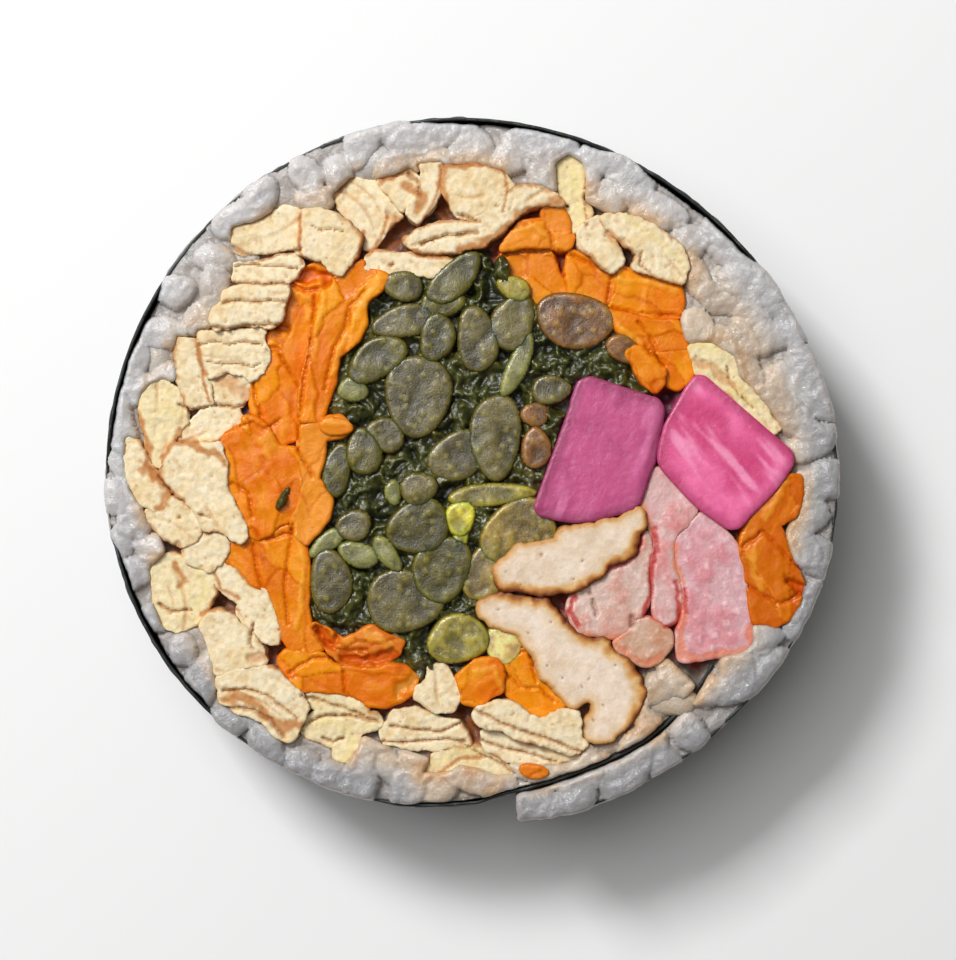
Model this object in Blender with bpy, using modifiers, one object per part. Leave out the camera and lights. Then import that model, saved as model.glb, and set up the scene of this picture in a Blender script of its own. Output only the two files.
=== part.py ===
"""A slice of gimbap, a Korean seaweed rice roll, lying on one of its two cut faces.

Frame: metres, +Z up. The roll's axis is Z and the slice rests on z = 0. Each filling is its own
solid and runs through the slice. Lengths below are in millimetres and are turned into metres when
an object is made. Angles are in degrees, anticlockwise from +X as seen from above.
"""

import math
import random

import bmesh
import bpy
from mathutils import Vector

MM = 0.001

# The slice and its seaweed sheet
SLICE_HEIGHT = 16.0
ROLL_RADIUS = 29.25
OVAL, OVAL_TURN = 0.8, 172.0
SIDE_FLAT, SIDE_FLAT_TURN = 0.3, -140.0
SIDE_BULGE = 0.5
SHEET_THICKNESS = 0.3
CLEARANCE = 0.25

# The sheet winds clockwise from its inner edge. Sweep is the angle wound since that edge.
INNER_EDGE_ANGLE = -39.0
SHEET_SWEEP = 409.0
SHEET_STEP = 4.5
LAP_DEPTH = ((0, 4.1), (8, 3.1), (18, 2.3), (28, 2.0), (42, 1.5), (52, 0.5), (64, 0.0))
LAP_RISE = ((0, 0.0), (18, 0.5), (32, 0.95), (49, 1.0))

# Rice lies on the inner side of the sheet. Its inner limit is (sweep, radius), which eases into
# the lap over a few degrees.
LAP_EASE = 10.0
RICE_START, RICE_END = 5.0, 403.0
RICE_STEP = 4.0
RICE_LUMP = 0.3
RICE_INNER = (
    (5, 21.4), (12, 22.6), (19, 24.0), (27, 24.8), (45, 24.2), (76, 23.6), (86, 25.0),
    (103, 25.0), (112, 25.3), (140, 26.6), (154, 26.0), (163, 24.0), (173, 23.2), (187, 24.6),
    (205, 24.2), (240, 23.6), (272, 24.0), (282, 22.4), (290, 19.6), (301, 19.6), (316, 23.6),
    (330, 26.6), (342, 26.0), (352, 24.4),
)

# The spinach is two stretches, each a middle line as (x, y, width) along it. It fills what the
# other fillings leave.
GREENS = (
    ((0.9, 17.5, 2.4), (-1.3, 13.6, 12.6), (-0.9, 8.0, 19.4), (-2.4, 2.0, 19.6),
     (-2.6, -3.0, 18.4), (-4.6, -8.0, 17.4), (-4.2, -12.6, 15.2), (0.2, -15.8, 8.4)),
    ((1.5, 13.8, 3.6), (5.8, 12.4, 6.2), (10.2, 10.3, 6.6), (13.6, 7.6, 3.6), (16.1, 5.5, 1.8)),
)

# Every other filling is its corners. Where two meet, the one listed later is pressed in by the
# earlier one.
RADISH_BATONS = (
    ((5.1, -3.8), (9.5, -4.4), (13.7, -3.3), (15.2, 1.2), (15.8, 5.4), (9.2, 7.6)),
    ((15.3, 0.4), (18.4, -3.0), (21.5, -5.2), (25.1, -1.6), (26.7, 0.9), (18.6, 7.9), (15.7, 2.8)),
)
FISH_CAKES = (
    ((2.0, -8.4), (2.4, -9.6), (4.2, -10.0), (6.4, -10.2), (8.7, -10.0), (9.9, -9.4), (10.9, -8.5),
     (11.4, -7.7), (12.7, -7.5), (13.6, -6.9), (14.0, -5.2), (14.3, -3.9), (13.7, -3.1), (12.0, -3.8),
     (9.9, -4.4), (7.8, -5.0), (6.8, -6.0), (4.0, -6.3), (2.6, -7.6)),
    ((0.7, -12.2), (0.7, -11.1), (1.6, -10.7), (3.2, -10.4), (4.4, -10.7), (6.2, -10.8), (7.2, -12.2),
     (8.2, -13.1), (9.4, -13.8), (11.2, -14.0), (11.9, -15.2), (13.1, -15.9), (13.8, -17.2),
     (14.3, -18.4), (13.8, -19.8), (13.0, -21.0), (11.6, -22.2), (10.2, -22.6), (9.3, -22.0),
     (9.3, -21.0), (10.0, -20.2), (10.0, -19.0), (8.4, -19.4), (7.4, -18.8), (6.3, -17.6),
     (5.3, -16.3), (4.7, -14.7), (3.9, -13.5), (2.7, -13.0), (1.4, -12.8)),
)
CRAB_STICKS = (
    ((14.3, -0.4), (15.4, 0.0), (16.4, -0.4), (16.8, -1.8), (18.0, -2.5), (18.6, -3.4), (17.9, -4.6),
     (16.6, -5.4), (16.6, -7.6), (17.0, -9.4), (17.1, -11.2), (16.8, -12.5), (16.1, -12.9),
     (15.2, -12.2), (15.1, -10.2), (14.8, -8.2), (15.2, -6.0), (14.8, -4.8), (14.2, -3.8), (13.8, -2.4)),
    ((13.9, -5.8), (14.4, -5.2), (15.0, -5.8), (15.0, -7.2), (14.5, -8.6), (14.7, -10.4), (14.2, -11.6),
     (13.5, -12.3), (12.9, -13.1), (12.0, -13.9), (10.6, -13.8), (9.4, -13.7), (8.6, -12.9),
     (8.2, -11.6), (8.4, -10.5), (9.4, -9.9), (10.4, -9.2), (11.4, -8.2), (12.8, -7.7), (13.7, -6.9)),
    ((11.7, -14.0), (12.9, -13.5), (13.6, -12.6), (14.4, -12.3), (15.5, -12.7), (16.4, -13.4),
     (16.3, -14.7), (15.6, -15.7), (14.4, -16.1), (13.5, -15.8), (13.0, -15.2), (12.1, -14.8)),
    ((16.8, -6.4), (17.2, -5.3), (18.2, -4.3), (19.2, -3.7), (20.1, -4.0), (20.8, -5.2), (21.8, -6.4),
     (22.3, -8.0), (22.6, -10.2), (22.9, -12.6), (23.1, -14.2), (22.3, -15.0), (20.0, -15.3),
     (18.3, -15.6), (17.2, -15.7), (17.1, -13.8), (17.6, -11.8), (17.6, -9.8), (17.1, -8.4)),
)
EGG_STRIPS = (
    ((-19.4, 19.6), (-17.2, 20.2), (-15.3, 21.4), (-13.9, 21.2), (-13.8, 19.4), (-14.3, 18.3),
     (-16.2, 17.9), (-18.6, 17.5), (-19.4, 18.2)),
    ((-13.6, 21.0), (-12.3, 21.1), (-10.2, 20.1), (-8.9, 19.0), (-9.4, 17.4), (-10.4, 15.8),
     (-11.0, 15.9), (-12.0, 17.1), (-13.9, 17.7), (-14.2, 18.6)),
    ((-11.2, 22.2), (-10.6, 22.9), (-9.7, 23.7), (-7.8, 23.3), (-6.9, 22.4), (-5.6, 20.8), (-6.7, 20.0),
     (-7.4, 18.8), (-8.2, 17.9), (-8.7, 18.5), (-9.0, 19.6), (-10.2, 20.8)),
    ((-7.5, 23.5), (-6.3, 23.8), (-5.0, 24.4), (-4.3, 23.9), (-4.3, 22.6), (-5.3, 21.7), (-5.5, 21.0)),
    ((-4.1, 24.7), (-2.4, 24.9), (-2.5, 22.9), (-3.2, 21.6), (-4.3, 20.2), (-5.1, 21.0), (-5.0, 21.8),
     (-3.9, 22.6), (-3.7, 23.6)),
    ((-2.0, 24.6), (0.4, 24.7), (2.6, 24.1), (3.4, 23.2), (2.6, 22.0), (1.2, 21.0), (0.0, 20.3),
     (-0.9, 20.6), (-1.6, 22.0), (-2.2, 22.8)),
    ((-5.3, 18.6), (-4.0, 19.4), (-2.4, 20.0), (0.2, 20.0), (1.6, 21.0), (2.7, 22.2), (4.4, 23.1),
     (6.0, 22.9), (7.7, 21.6), (6.8, 21.7), (5.0, 21.6), (3.6, 20.5), (2.3, 19.3), (0.8, 18.3),
     (-0.8, 17.8), (-3.0, 17.7), (-4.5, 18.0)),
    ((-8.5, 16.4), (-8.4, 17.2), (-7.8, 17.6), (-5.0, 17.4), (-2.0, 17.2), (-1.0, 16.9), (-1.5, 16.1),
     (-2.4, 15.6), (-3.4, 15.8), (-6.0, 16.0)),
    ((7.1, 24.9), (8.0, 25.6), (9.1, 24.9), (9.4, 23.2), (9.1, 22.0), (9.9, 20.9), (9.0, 19.7),
     (8.3, 19.3), (8.3, 20.5), (7.6, 21.7), (7.3, 22.9)),
    ((9.0, 19.7), (10.4, 20.4), (11.2, 19.3), (12.5, 16.9), (11.7, 16.1), (11.0, 16.2), (10.0, 17.3),
     (9.0, 18.4)),
    ((10.3, 20.3), (12.2, 20.7), (14.2, 20.2), (16.0, 19.0), (17.3, 17.9), (17.8, 16.4), (17.4, 15.2),
     (16.0, 15.5), (13.4, 16.3), (14.0, 17.5), (12.4, 18.7), (11.2, 19.7)),
    ((18.0, 10.0), (19.6, 10.1), (21.5, 9.0), (21.8, 7.4), (23.0, 6.3), (24.2, 4.8), (25.3, 3.2),
     (24.6, 2.7), (22.5, 4.0), (21.2, 5.2), (20.0, 6.9), (18.7, 7.7), (18.4, 8.8)),
    ((-19.4, 15.3), (-19.2, 16.6), (-17.6, 16.7), (-15.6, 17.3), (-14.2, 17.4), (-13.8, 16.6),
     (-14.3, 15.8), (-15.2, 15.2), (-17.6, 15.0)),
    ((-21.2, 12.2), (-20.9, 13.0), (-20.1, 13.5), (-20.1, 14.3), (-18.8, 14.9), (-16.0, 14.9),
     (-14.8, 14.7), (-15.2, 13.6), (-15.4, 12.4), (-15.8, 11.7), (-18.4, 11.8), (-20.7, 11.4)),
    ((-22.3, 11.2), (-20.8, 11.2), (-17.0, 11.6), (-16.9, 10.2), (-16.5, 9.2), (-16.9, 8.0),
     (-17.9, 7.2), (-18.7, 7.8), (-20.0, 7.9), (-21.4, 7.4), (-22.0, 8.8)),
    ((-23.9, 10.7), (-22.5, 10.4), (-22.2, 9.2), (-21.5, 7.4), (-21.1, 5.3), (-23.0, 5.1),
     (-23.7, 6.7), (-24.1, 9.0)),
    ((-26.0, 6.9), (-25.0, 7.2), (-24.2, 6.4), (-23.5, 5.0), (-23.3, 3.8), (-24.1, 2.6), (-24.9, 1.6),
     (-25.5, 0.2), (-26.1, 0.6), (-26.6, 2.6), (-27.0, 4.6), (-26.8, 6.0)),
    ((-24.0, 2.7), (-22.8, 3.6), (-21.8, 4.7), (-21.0, 5.3), (-21.3, 7.1), (-20.0, 7.6), (-18.4, 7.3),
     (-18.1, 6.0), (-19.2, 5.0), (-18.8, 3.7), (-20.0, 3.1), (-20.8, 2.3), (-23.4, 2.1)),
    ((-25.2, -0.8), (-25.0, 0.6), (-24.3, 1.8), (-22.8, 1.8), (-20.6, 1.9), (-20.0, 0.4),
     (-20.1, -1.4), (-19.5, -2.6), (-18.8, -3.9), (-18.3, -5.2), (-18.7, -6.1), (-19.4, -5.7),
     (-20.2, -5.1), (-21.8, -5.0), (-22.3, -3.6), (-23.5, -2.4)),
    ((-28.0, 2.4), (-27.2, 2.2), (-26.2, 0.2), (-25.4, -0.9), (-24.8, -2.0), (-25.0, -3.2),
     (-25.8, -3.5), (-27.2, -2.6), (-27.9, -1.0), (-28.1, 1.0)),
    ((-26.6, -3.5), (-25.3, -3.8), (-24.6, -2.6), (-23.2, -2.6), (-22.5, -3.8), (-22.0, -5.1),
     (-22.5, -5.9), (-23.5, -6.4), (-24.7, -5.8), (-26.0, -4.7)),
    ((-23.4, -6.8), (-23.1, -5.9), (-21.8, -5.4), (-20.3, -5.4), (-19.8, -6.4), (-20.3, -7.5),
     (-21.3, -8.4), (-22.0, -8.0), (-23.2, -7.8)),
    ((-26.1, -8.2), (-25.0, -7.1), (-23.8, -7.3), (-22.6, -7.9), (-21.0, -8.6), (-21.0, -10.0),
     (-21.6, -11.8), (-22.2, -12.6), (-24.0, -13.4), (-25.0, -13.0), (-25.7, -11.4), (-25.9, -9.8)),
    ((-22.0, -13.0), (-21.7, -12.1), (-20.4, -11.8), (-19.0, -12.6), (-18.0, -13.5), (-17.0, -15.0),
     (-16.8, -15.9), (-18.0, -16.2), (-19.8, -16.4), (-20.7, -16.9), (-20.9, -15.8), (-21.4, -14.2)),
    ((-20.8, -8.4), (-20.0, -7.9), (-18.9, -8.6), (-18.0, -9.8), (-16.8, -10.2), (-16.3, -11.2),
     (-15.7, -13.4), (-15.9, -14.3), (-16.9, -14.1), (-18.0, -13.3), (-18.9, -12.2), (-18.8, -11.0),
     (-19.9, -10.2), (-20.8, -9.4)),
    ((-20.7, -17.2), (-19.5, -16.7), (-17.6, -16.4), (-16.1, -16.6), (-15.1, -17.5), (-13.9, -18.4),
     (-13.3, -19.4), (-13.7, -20.6), (-14.2, -21.8), (-14.8, -22.3), (-15.8, -21.9), (-17.0, -20.6),
     (-19.2, -19.8), (-20.3, -19.0)),
    ((-13.6, -18.9), (-12.9, -18.4), (-10.6, -18.6), (-8.7, -19.4), (-8.4, -20.2), (-7.7, -20.2),
     (-7.3, -21.1), (-9.0, -21.6), (-9.3, -22.9), (-10.2, -24.0), (-11.2, -23.7), (-11.2, -22.8),
     (-13.0, -22.1), (-14.0, -21.6), (-13.0, -20.4), (-12.4, -19.9)),
    ((-7.1, -22.5), (-7.2, -21.5), (-6.6, -20.8), (-6.2, -20.0), (-4.2, -20.0), (-2.2, -20.8),
     (-1.2, -20.8), (-0.4, -21.8), (-0.1, -22.7), (-2.0, -22.9), (-4.4, -22.9)),
    ((-3.6, -24.8), (-3.0, -23.7), (-1.6, -23.1), (0.2, -22.8), (1.6, -23.5), (2.8, -24.2),
     (3.6, -25.0), (2.2, -25.1), (0.8, -24.5), (-0.8, -24.2), (-2.2, -24.8)),
    ((0.4, -20.2), (1.0, -19.5), (2.7, -19.2), (3.9, -19.5), (4.8, -20.4), (6.3, -20.6), (7.3, -19.9),
     (8.8, -20.1), (8.9, -21.2), (9.5, -22.3), (9.0, -23.2), (8.0, -23.3), (6.6, -22.6), (4.4, -22.2),
     (2.7, -21.3), (1.1, -21.1)),
    ((1.2, -21.6), (2.8, -22.0), (4.8, -22.7), (6.4, -23.1), (7.8, -23.6), (9.2, -23.3), (8.8, -23.7),
     (7.2, -24.1), (5.2, -24.2), (3.4, -24.0), (1.7, -23.7), (1.2, -22.8)),
    ((-4.3, -18.8), (-4.1, -18.0), (-3.4, -17.3), (-3.3, -16.3), (-2.2, -16.2), (-1.2, -17.4),
     (-0.8, -18.6), (-1.5, -19.8), (-2.8, -19.8)),
)
CARROT_STRIPS = (
    ((-8.7, 16.9), (-7.8, 16.3), (-6.8, 15.6), (-7.4, 14.5), (-8.7, 13.6), (-8.5, 11.8), (-9.2, 10.4),
     (-10.8, 9.2), (-11.2, 7.0), (-12.1, 3.9), (-13.8, 3.8), (-13.9, 6.6), (-13.3, 8.6),
     (-12.9, 11.4), (-12.4, 13.1), (-11.8, 14.8), (-10.8, 15.7), (-9.8, 16.1)),
    ((-14.4, 14.9), (-13.6, 16.2), (-12.0, 16.8), (-11.0, 16.0), (-12.0, 14.2), (-12.8, 12.2),
     (-13.2, 10.0), (-13.6, 7.8), (-14.0, 5.2), (-14.1, 2.6), (-15.6, 2.0), (-16.6, 3.9), (-17.8, 4.6),
     (-17.9, 6.2), (-17.3, 7.8), (-16.3, 9.0), (-16.6, 10.8), (-15.5, 11.4), (-15.2, 12.8)),
    ((-20.1, 2.6), (-19.6, 3.2), (-18.6, 4.0), (-17.6, 4.1), (-16.6, 3.4), (-15.6, 1.6), (-14.1, 1.4),
     (-13.9, -1.0), (-14.1, -2.8), (-14.7, -4.1), (-15.8, -4.5), (-16.2, -5.3), (-17.4, -5.8),
     (-18.2, -5.0), (-18.8, -3.6), (-19.5, -2.2), (-19.9, -0.6)),
    ((-13.8, 3.4), (-12.6, 3.9), (-10.6, 4.2), (-9.7, 3.3), (-10.4, 2.7), (-11.9, 2.4), (-12.1, 0.9),
     (-12.6, -0.9), (-11.4, -2.6), (-11.6, -4.1), (-12.5, -5.2), (-13.4, -6.2), (-14.4, -5.2),
     (-14.5, -4.2), (-13.9, -2.6), (-13.7, -0.6), (-13.9, 1.4)),
    ((-19.9, -6.9), (-19.4, -6.3), (-18.0, -5.9), (-17.0, -6.0), (-15.6, -5.2), (-14.4, -4.8),
     (-13.6, -6.2), (-13.3, -8.2), (-13.4, -12.0), (-13.0, -13.6), (-12.1, -14.8), (-13.0, -15.1),
     (-14.6, -14.8), (-15.4, -13.6), (-15.9, -11.6), (-16.6, -10.1), (-18.0, -9.8), (-18.9, -8.4),
     (-20.0, -7.8)),
    ((-15.6, -15.8), (-15.0, -15.2), (-12.4, -15.2), (-11.2, -16.4), (-10.3, -16.3), (-8.2, -16.7),
     (-6.6, -16.2), (-5.2, -16.4), (-4.3, -17.2), (-4.6, -18.2), (-5.6, -18.9), (-7.0, -19.4),
     (-8.6, -19.3), (-10.2, -18.5), (-12.9, -18.3), (-14.1, -18.0), (-14.8, -16.9)),
    ((-13.1, -12.8), (-11.8, -13.2), (-10.4, -14.2), (-9.2, -13.6), (-8.1, -13.0), (-6.7, -13.9),
     (-5.4, -14.2), (-6.0, -15.4), (-7.6, -16.2), (-10.6, -15.8), (-11.8, -14.6), (-12.8, -13.8)),
    ((-1.2, -17.2), (-0.2, -16.4), (0.5, -15.7), (2.2, -15.8), (2.8, -16.6), (2.6, -18.1), (1.4, -18.6),
     (1.1, -19.4), (-0.6, -19.0), (-1.0, -18.2)),
    ((3.0, -16.0), (4.5, -14.9), (5.2, -15.6), (5.7, -17.3), (6.8, -18.1), (7.9, -19.2), (7.0, -19.8),
     (6.0, -20.3), (4.8, -20.0), (4.0, -19.2), (3.2, -18.4), (2.9, -17.0)),
    ((2.3, 16.9), (2.8, 17.5), (4.6, 17.9), (6.6, 17.7), (7.0, 16.4), (7.6, 15.3), (8.0, 14.2),
     (6.2, 13.5), (5.3, 13.7), (4.8, 15.0), (3.6, 15.2), (2.5, 15.8)),
    ((2.6, 17.9), (3.4, 19.0), (4.2, 20.0), (6.2, 20.2), (6.1, 21.0), (6.5, 21.5), (7.6, 21.3),
     (8.1, 20.4), (8.4, 19.3), (8.2, 18.2), (7.4, 17.9), (6.6, 18.3), (4.6, 18.2)),
    ((8.2, 17.7), (10.0, 17.0), (11.0, 16.1), (12.0, 15.9), (11.8, 14.4), (10.9, 13.1), (9.4, 13.5),
     (8.1, 14.2), (8.0, 15.6)),
    ((11.6, 16.4), (13.4, 16.1), (16.0, 15.3), (17.2, 14.8), (17.5, 13.6), (17.1, 12.4), (15.0, 12.3),
     (12.8, 12.9), (11.0, 13.2), (11.8, 14.6)),
    ((11.2, 12.9), (13.0, 12.6), (15.0, 12.0), (17.0, 12.0), (17.4, 10.6), (17.8, 9.8), (15.4, 9.6),
     (13.6, 10.2), (12.3, 11.1)),
    ((12.8, 9.4), (13.8, 10.1), (14.8, 9.3), (15.9, 8.1), (15.7, 6.9), (15.1, 6.2), (14.2, 7.0),
     (13.6, 8.2)),
    ((15.2, 9.4), (17.6, 9.5), (18.0, 8.2), (18.1, 7.2), (17.0, 6.7), (16.2, 6.9), (16.1, 8.2)),
    ((23.2, -3.4), (25.0, -1.4), (26.0, -0.6), (27.0, -0.7), (27.1, -2.2), (26.6, -3.9), (25.0, -4.6),
     (25.8, -6.2), (26.6, -8.0), (27.2, -9.6), (26.8, -11.2), (26.0, -12.4), (25.0, -12.9),
     (24.0, -12.6), (23.0, -12.6), (22.7, -10.2), (22.2, -7.2), (22.4, -5.4)),
)

# How far each kind's cut end stands above or below the cut face
ENDS = {
    "radish_baton": (-0.1, 0.1),
    "fish_cake": (-0.3, 0.1),
    "crab_stick": (-0.4, 0.0),
    "egg_strip": (-0.9, 0.1),
    "carrot_strip": (-1.0, 0.0),
    "greens": (-0.3, -0.3),
}
GREENS_WOBBLE = 0.03
GREENS_CORNER = 0.22
BATON_CORNER = 0.6
RIM_BEVEL = 0.3

COLOURS = {
    "gim_sheet": ((0.012, 0.02, 0.014), 0.35),
    "rice": ((0.62, 0.62, 0.6), 0.3),
    "greens": ((0.05, 0.075, 0.025), 0.4),
    "radish_baton": ((0.62, 0.09, 0.3), 0.3),
    "fish_cake": ((0.8, 0.6, 0.42), 0.5),
    "crab_stick": ((0.8, 0.45, 0.48), 0.4),
    "egg_strip": ((0.85, 0.75, 0.4), 0.6),
    "carrot_strip": ((0.9, 0.22, 0.02), 0.35),
}


def clear_scene():
    for obj in list(bpy.data.objects):
        bpy.data.objects.remove(obj)


def new_collection(name):
    collection = bpy.data.collections.new(name)
    bpy.context.scene.collection.children.link(collection)
    return collection


def material(kind):
    colour, roughness = COLOURS[kind]
    made = bpy.data.materials.get(kind) or bpy.data.materials.new(kind)
    made.use_nodes = True
    shader = made.node_tree.nodes["Principled BSDF"]
    shader.inputs["Base Color"].default_value = (*colour, 1.0)
    shader.inputs["Roughness"].default_value = roughness
    made.diffuse_color = (*colour, 1.0)
    return made


def between(pairs, at):
    """The value at a place, from (place, value) pairs, smoothed between neighbours."""
    if at <= pairs[0][0]:
        return pairs[0][1]
    for (start, low), (end, high) in zip(pairs, pairs[1:]):
        if at <= end:
            share = (at - start) / (end - start)
            return low + (high - low) * share * share * (3 - 2 * share)
    return pairs[-1][1]


def outline_radius(angle):
    """The roll's outer radius: an oval, a little flatter on three sides."""
    oval = OVAL * math.cos(2 * math.radians(angle - OVAL_TURN))
    flat = SIDE_FLAT * math.cos(3 * math.radians(angle - SIDE_FLAT_TURN))
    return ROLL_RADIUS + oval + flat


def sheet_radius(sweep):
    """The middle of the seaweed sheet, which starts inside the roll and ends on top of itself."""
    radius = outline_radius(INNER_EDGE_ANGLE - sweep) - SHEET_THICKNESS / 2
    if sweep > 360:
        return radius + between(LAP_RISE, sweep - 360)
    return radius - between(LAP_DEPTH, sweep)


def polar(sweep, radius):
    angle = math.radians(INNER_EDGE_ANGLE - sweep)
    return Vector((radius * math.cos(angle), radius * math.sin(angle)))


def bulge(height):
    """How far the roll's side swells at a height, from none at the cut faces."""
    return SIDE_BULGE * math.sin(math.pi * min(max(height / SLICE_HEIGHT, 0), 1))


def object_of(name, kind, mesh, collection, place=(0, 0, 0)):
    obj = bpy.data.objects.new(name, mesh)
    obj.location = place
    collection.objects.link(obj)
    if not mesh.materials:
        mesh.materials.append(material(kind))
    return obj


def smooth_path(path):
    """Points along a Catmull-Rom curve through the path, each (x, y, width)."""
    points = [Vector(p) for p in path]
    if len(points) == 2:
        return [points[0], points[0].lerp(points[1], 0.5), points[1]]
    ends = [2 * points[0] - points[1], *points, 2 * points[-1] - points[-2]]
    line = []
    for before, start, end, after in zip(ends, ends[1:], ends[2:], ends[3:]):
        for share in (0.0, 0.5):
            line.append(0.5 * (
                2 * start + (end - before) * share
                + (2 * before - 5 * start + 4 * end - after) * share ** 2
                + (3 * start - before - 3 * end + after) * share ** 3
            ))
    return [*line, points[-1]]


def strip_outline(path, seed):
    """A strip's outline round its middle line, anticlockwise, uneven, with its corners cut off."""
    line = smooth_path(path)
    uneven = random.Random(seed)
    left, right = [], []
    for i, point in enumerate(line):
        ahead = line[min(i + 1, len(line) - 1)] - line[max(i - 1, 0)]
        along = Vector((ahead.x, ahead.y)).normalized()
        across = Vector((-along.y, along.x)) * point.z / 2
        middle = Vector((point.x, point.y))
        corner = GREENS_CORNER * point.z
        shifts = [(0.0, 1.0)]
        if i == 0:
            shifts = [(0.0, 1 - 2 * GREENS_CORNER), (corner, 1.0)]
        if i == len(line) - 1:
            shifts = [(-corner, 1.0), (0.0, 1 - 2 * GREENS_CORNER)]
        for forward, share in shifts:
            for side, sign in ((left, 1), (right, -1)):
                error = Vector((uneven.uniform(-1, 1), uneven.uniform(-1, 1)))
                error *= GREENS_WOBBLE * point.z
                side.append(middle + along * forward + across * share * sign + error)
    return right + left[::-1]


def turned_anticlockwise(points):
    """The points of an outline, in the order that runs anticlockwise."""
    area = sum(before.cross(point) for before, point in zip([points[-1], *points], points))
    return points if area > 0 else points[::-1]


def corner_outline(corners, cut):
    """The outline through the corners, with each of them cut off by a distance."""
    points = turned_anticlockwise([Vector(corner) for corner in corners])
    if not cut:
        return points
    made = []
    for i, point in enumerate(points):
        before, after = points[i - 1], points[(i + 1) % len(points)]
        made.append(point + (before - point).normalized() * cut)
        made.append(point + (after - point).normalized() * cut)
    return made


def grown(outline, by):
    """The outline moved outwards by a distance."""
    made = []
    for i, point in enumerate(outline):
        before = (point - outline[i - 1]).normalized()
        after = (outline[(i + 1) % len(outline)] - point).normalized()
        normal = Vector((before.y + after.y, -before.x - after.x)).normalized()
        sharp = max(normal.dot(Vector((before.y, -before.x))), 0.5)
        made.append(point + normal * by / sharp)
    return made


def prism(name, kind, outline, bottom, top, collection):
    """A flat outline extruded from one height to another, as a closed mesh."""
    middle = sum(outline, Vector((0, 0))) / len(outline)
    curve = bpy.data.curves.new(name, "CURVE")
    curve.dimensions = "2D"
    curve.fill_mode = "BOTH"
    curve.extrude = (top - bottom) / 2 * MM
    spline = curve.splines.new("POLY")
    spline.points.add(len(outline) - 1)
    for spline_point, point in zip(spline.points, outline):
        spline_point.co = (*((point - middle) * MM), 0, 1)
    spline.use_cyclic_u = True
    drawn = bpy.data.objects.new(name + "_outline", curve)
    collection.objects.link(drawn)
    mesh = bpy.data.meshes.new_from_object(drawn.evaluated_get(bpy.context.evaluated_depsgraph_get()))
    bpy.data.objects.remove(drawn)
    welded = bmesh.new()
    welded.from_mesh(mesh)
    bmesh.ops.remove_doubles(welded, verts=welded.verts, dist=1e-6)
    bmesh.ops.recalc_face_normals(welded, faces=welded.faces)
    welded.to_mesh(mesh)
    welded.free()
    mesh.name = name
    place = (*(middle * MM), (bottom + top) / 2 * MM)
    return object_of(name, kind, mesh, collection, place)


def bodies_of(mesh):
    """The mesh's separate bodies, each a list of faces."""
    waiting = set(mesh.faces)
    found = []
    while waiting:
        body, edge = [], [waiting.pop()]
        while edge:
            face = edge.pop()
            body.append(face)
            for neighbour in {f for e in face.edges for f in e.link_faces} & waiting:
                waiting.discard(neighbour)
                edge.append(neighbour)
        found.append(body)
    return found


def body_size(faces):
    """Six times a body's volume, from its triangles."""
    total = 0.0
    for face in faces:
        corners = [v.co for v in face.verts]
        for second, third in zip(corners[1:], corners[2:]):
            total += corners[0].cross(second).dot(third)
    return total


def apply_cuts(obj):
    """Applies the object's Booleans and keeps its largest body, as loose offcuts fall away."""
    mesh = bpy.data.meshes.new_from_object(obj.evaluated_get(bpy.context.evaluated_depsgraph_get()))
    cut = bmesh.new()
    cut.from_mesh(mesh)
    for body in sorted(bodies_of(cut), key=body_size)[:-1]:
        bmesh.ops.delete(cut, geom=body, context="FACES")
    bmesh.ops.dissolve_limit(cut, angle_limit=0.01, verts=cut.verts, edges=cut.edges)
    bmesh.ops.triangulate(cut, faces=cut.faces)
    cut.to_mesh(mesh)
    cut.free()
    obj.modifiers.clear()
    obj.data = mesh


def box_of(outline):
    xs, ys = [p.x for p in outline], [p.y for p in outline]
    return min(xs), min(ys), max(xs), max(ys)


def boxes_meet(first, second):
    return (first[0] < second[2] and second[0] < first[2]
            and first[1] < second[3] and second[1] < first[3])


def boolean(obj, tool, operation):
    modifier = obj.modifiers.new(tool.name, "BOOLEAN")
    modifier.operation = operation
    modifier.solver = "EXACT"
    modifier.object = tool


def make_cutter(name, outline, collection):
    """A tall prism a clearance wider than the piece, which cuts what lies against it."""
    reach = SLICE_HEIGHT / 2
    kind = name.rstrip("_0123456789")
    tool = prism("cut_" + name, kind, outline, -reach, SLICE_HEIGHT + reach, collection)
    tool.hide_render = True
    tool.display_type = "WIRE"
    return tool


def make_gim_sheet(collection):
    """The seaweed sheet: a flat grid rolled up along its spiral, then given its thickness."""
    turns, levels = round(SHEET_SWEEP / SHEET_STEP), 4
    rolled = bmesh.new()
    bmesh.ops.create_grid(rolled, x_segments=turns, y_segments=levels, size=1.0)
    for vertex in rolled.verts:
        sweep = (vertex.co.x + 1) / 2 * SHEET_SWEEP
        height = (vertex.co.y + 1) / 2 * SLICE_HEIGHT
        place = polar(sweep, sheet_radius(sweep) + bulge(height))
        vertex.co = Vector((place.x, place.y, height)) * MM
    bmesh.ops.recalc_face_normals(rolled, faces=rolled.faces)
    mesh = bpy.data.meshes.new("gim_sheet")
    rolled.to_mesh(mesh)
    rolled.free()
    sheet = object_of("gim_sheet", "gim_sheet", mesh, collection)
    thickness = sheet.modifiers.new("thickness", "SOLIDIFY")
    thickness.thickness = SHEET_THICKNESS * MM
    thickness.offset = 0
    return sheet


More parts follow.
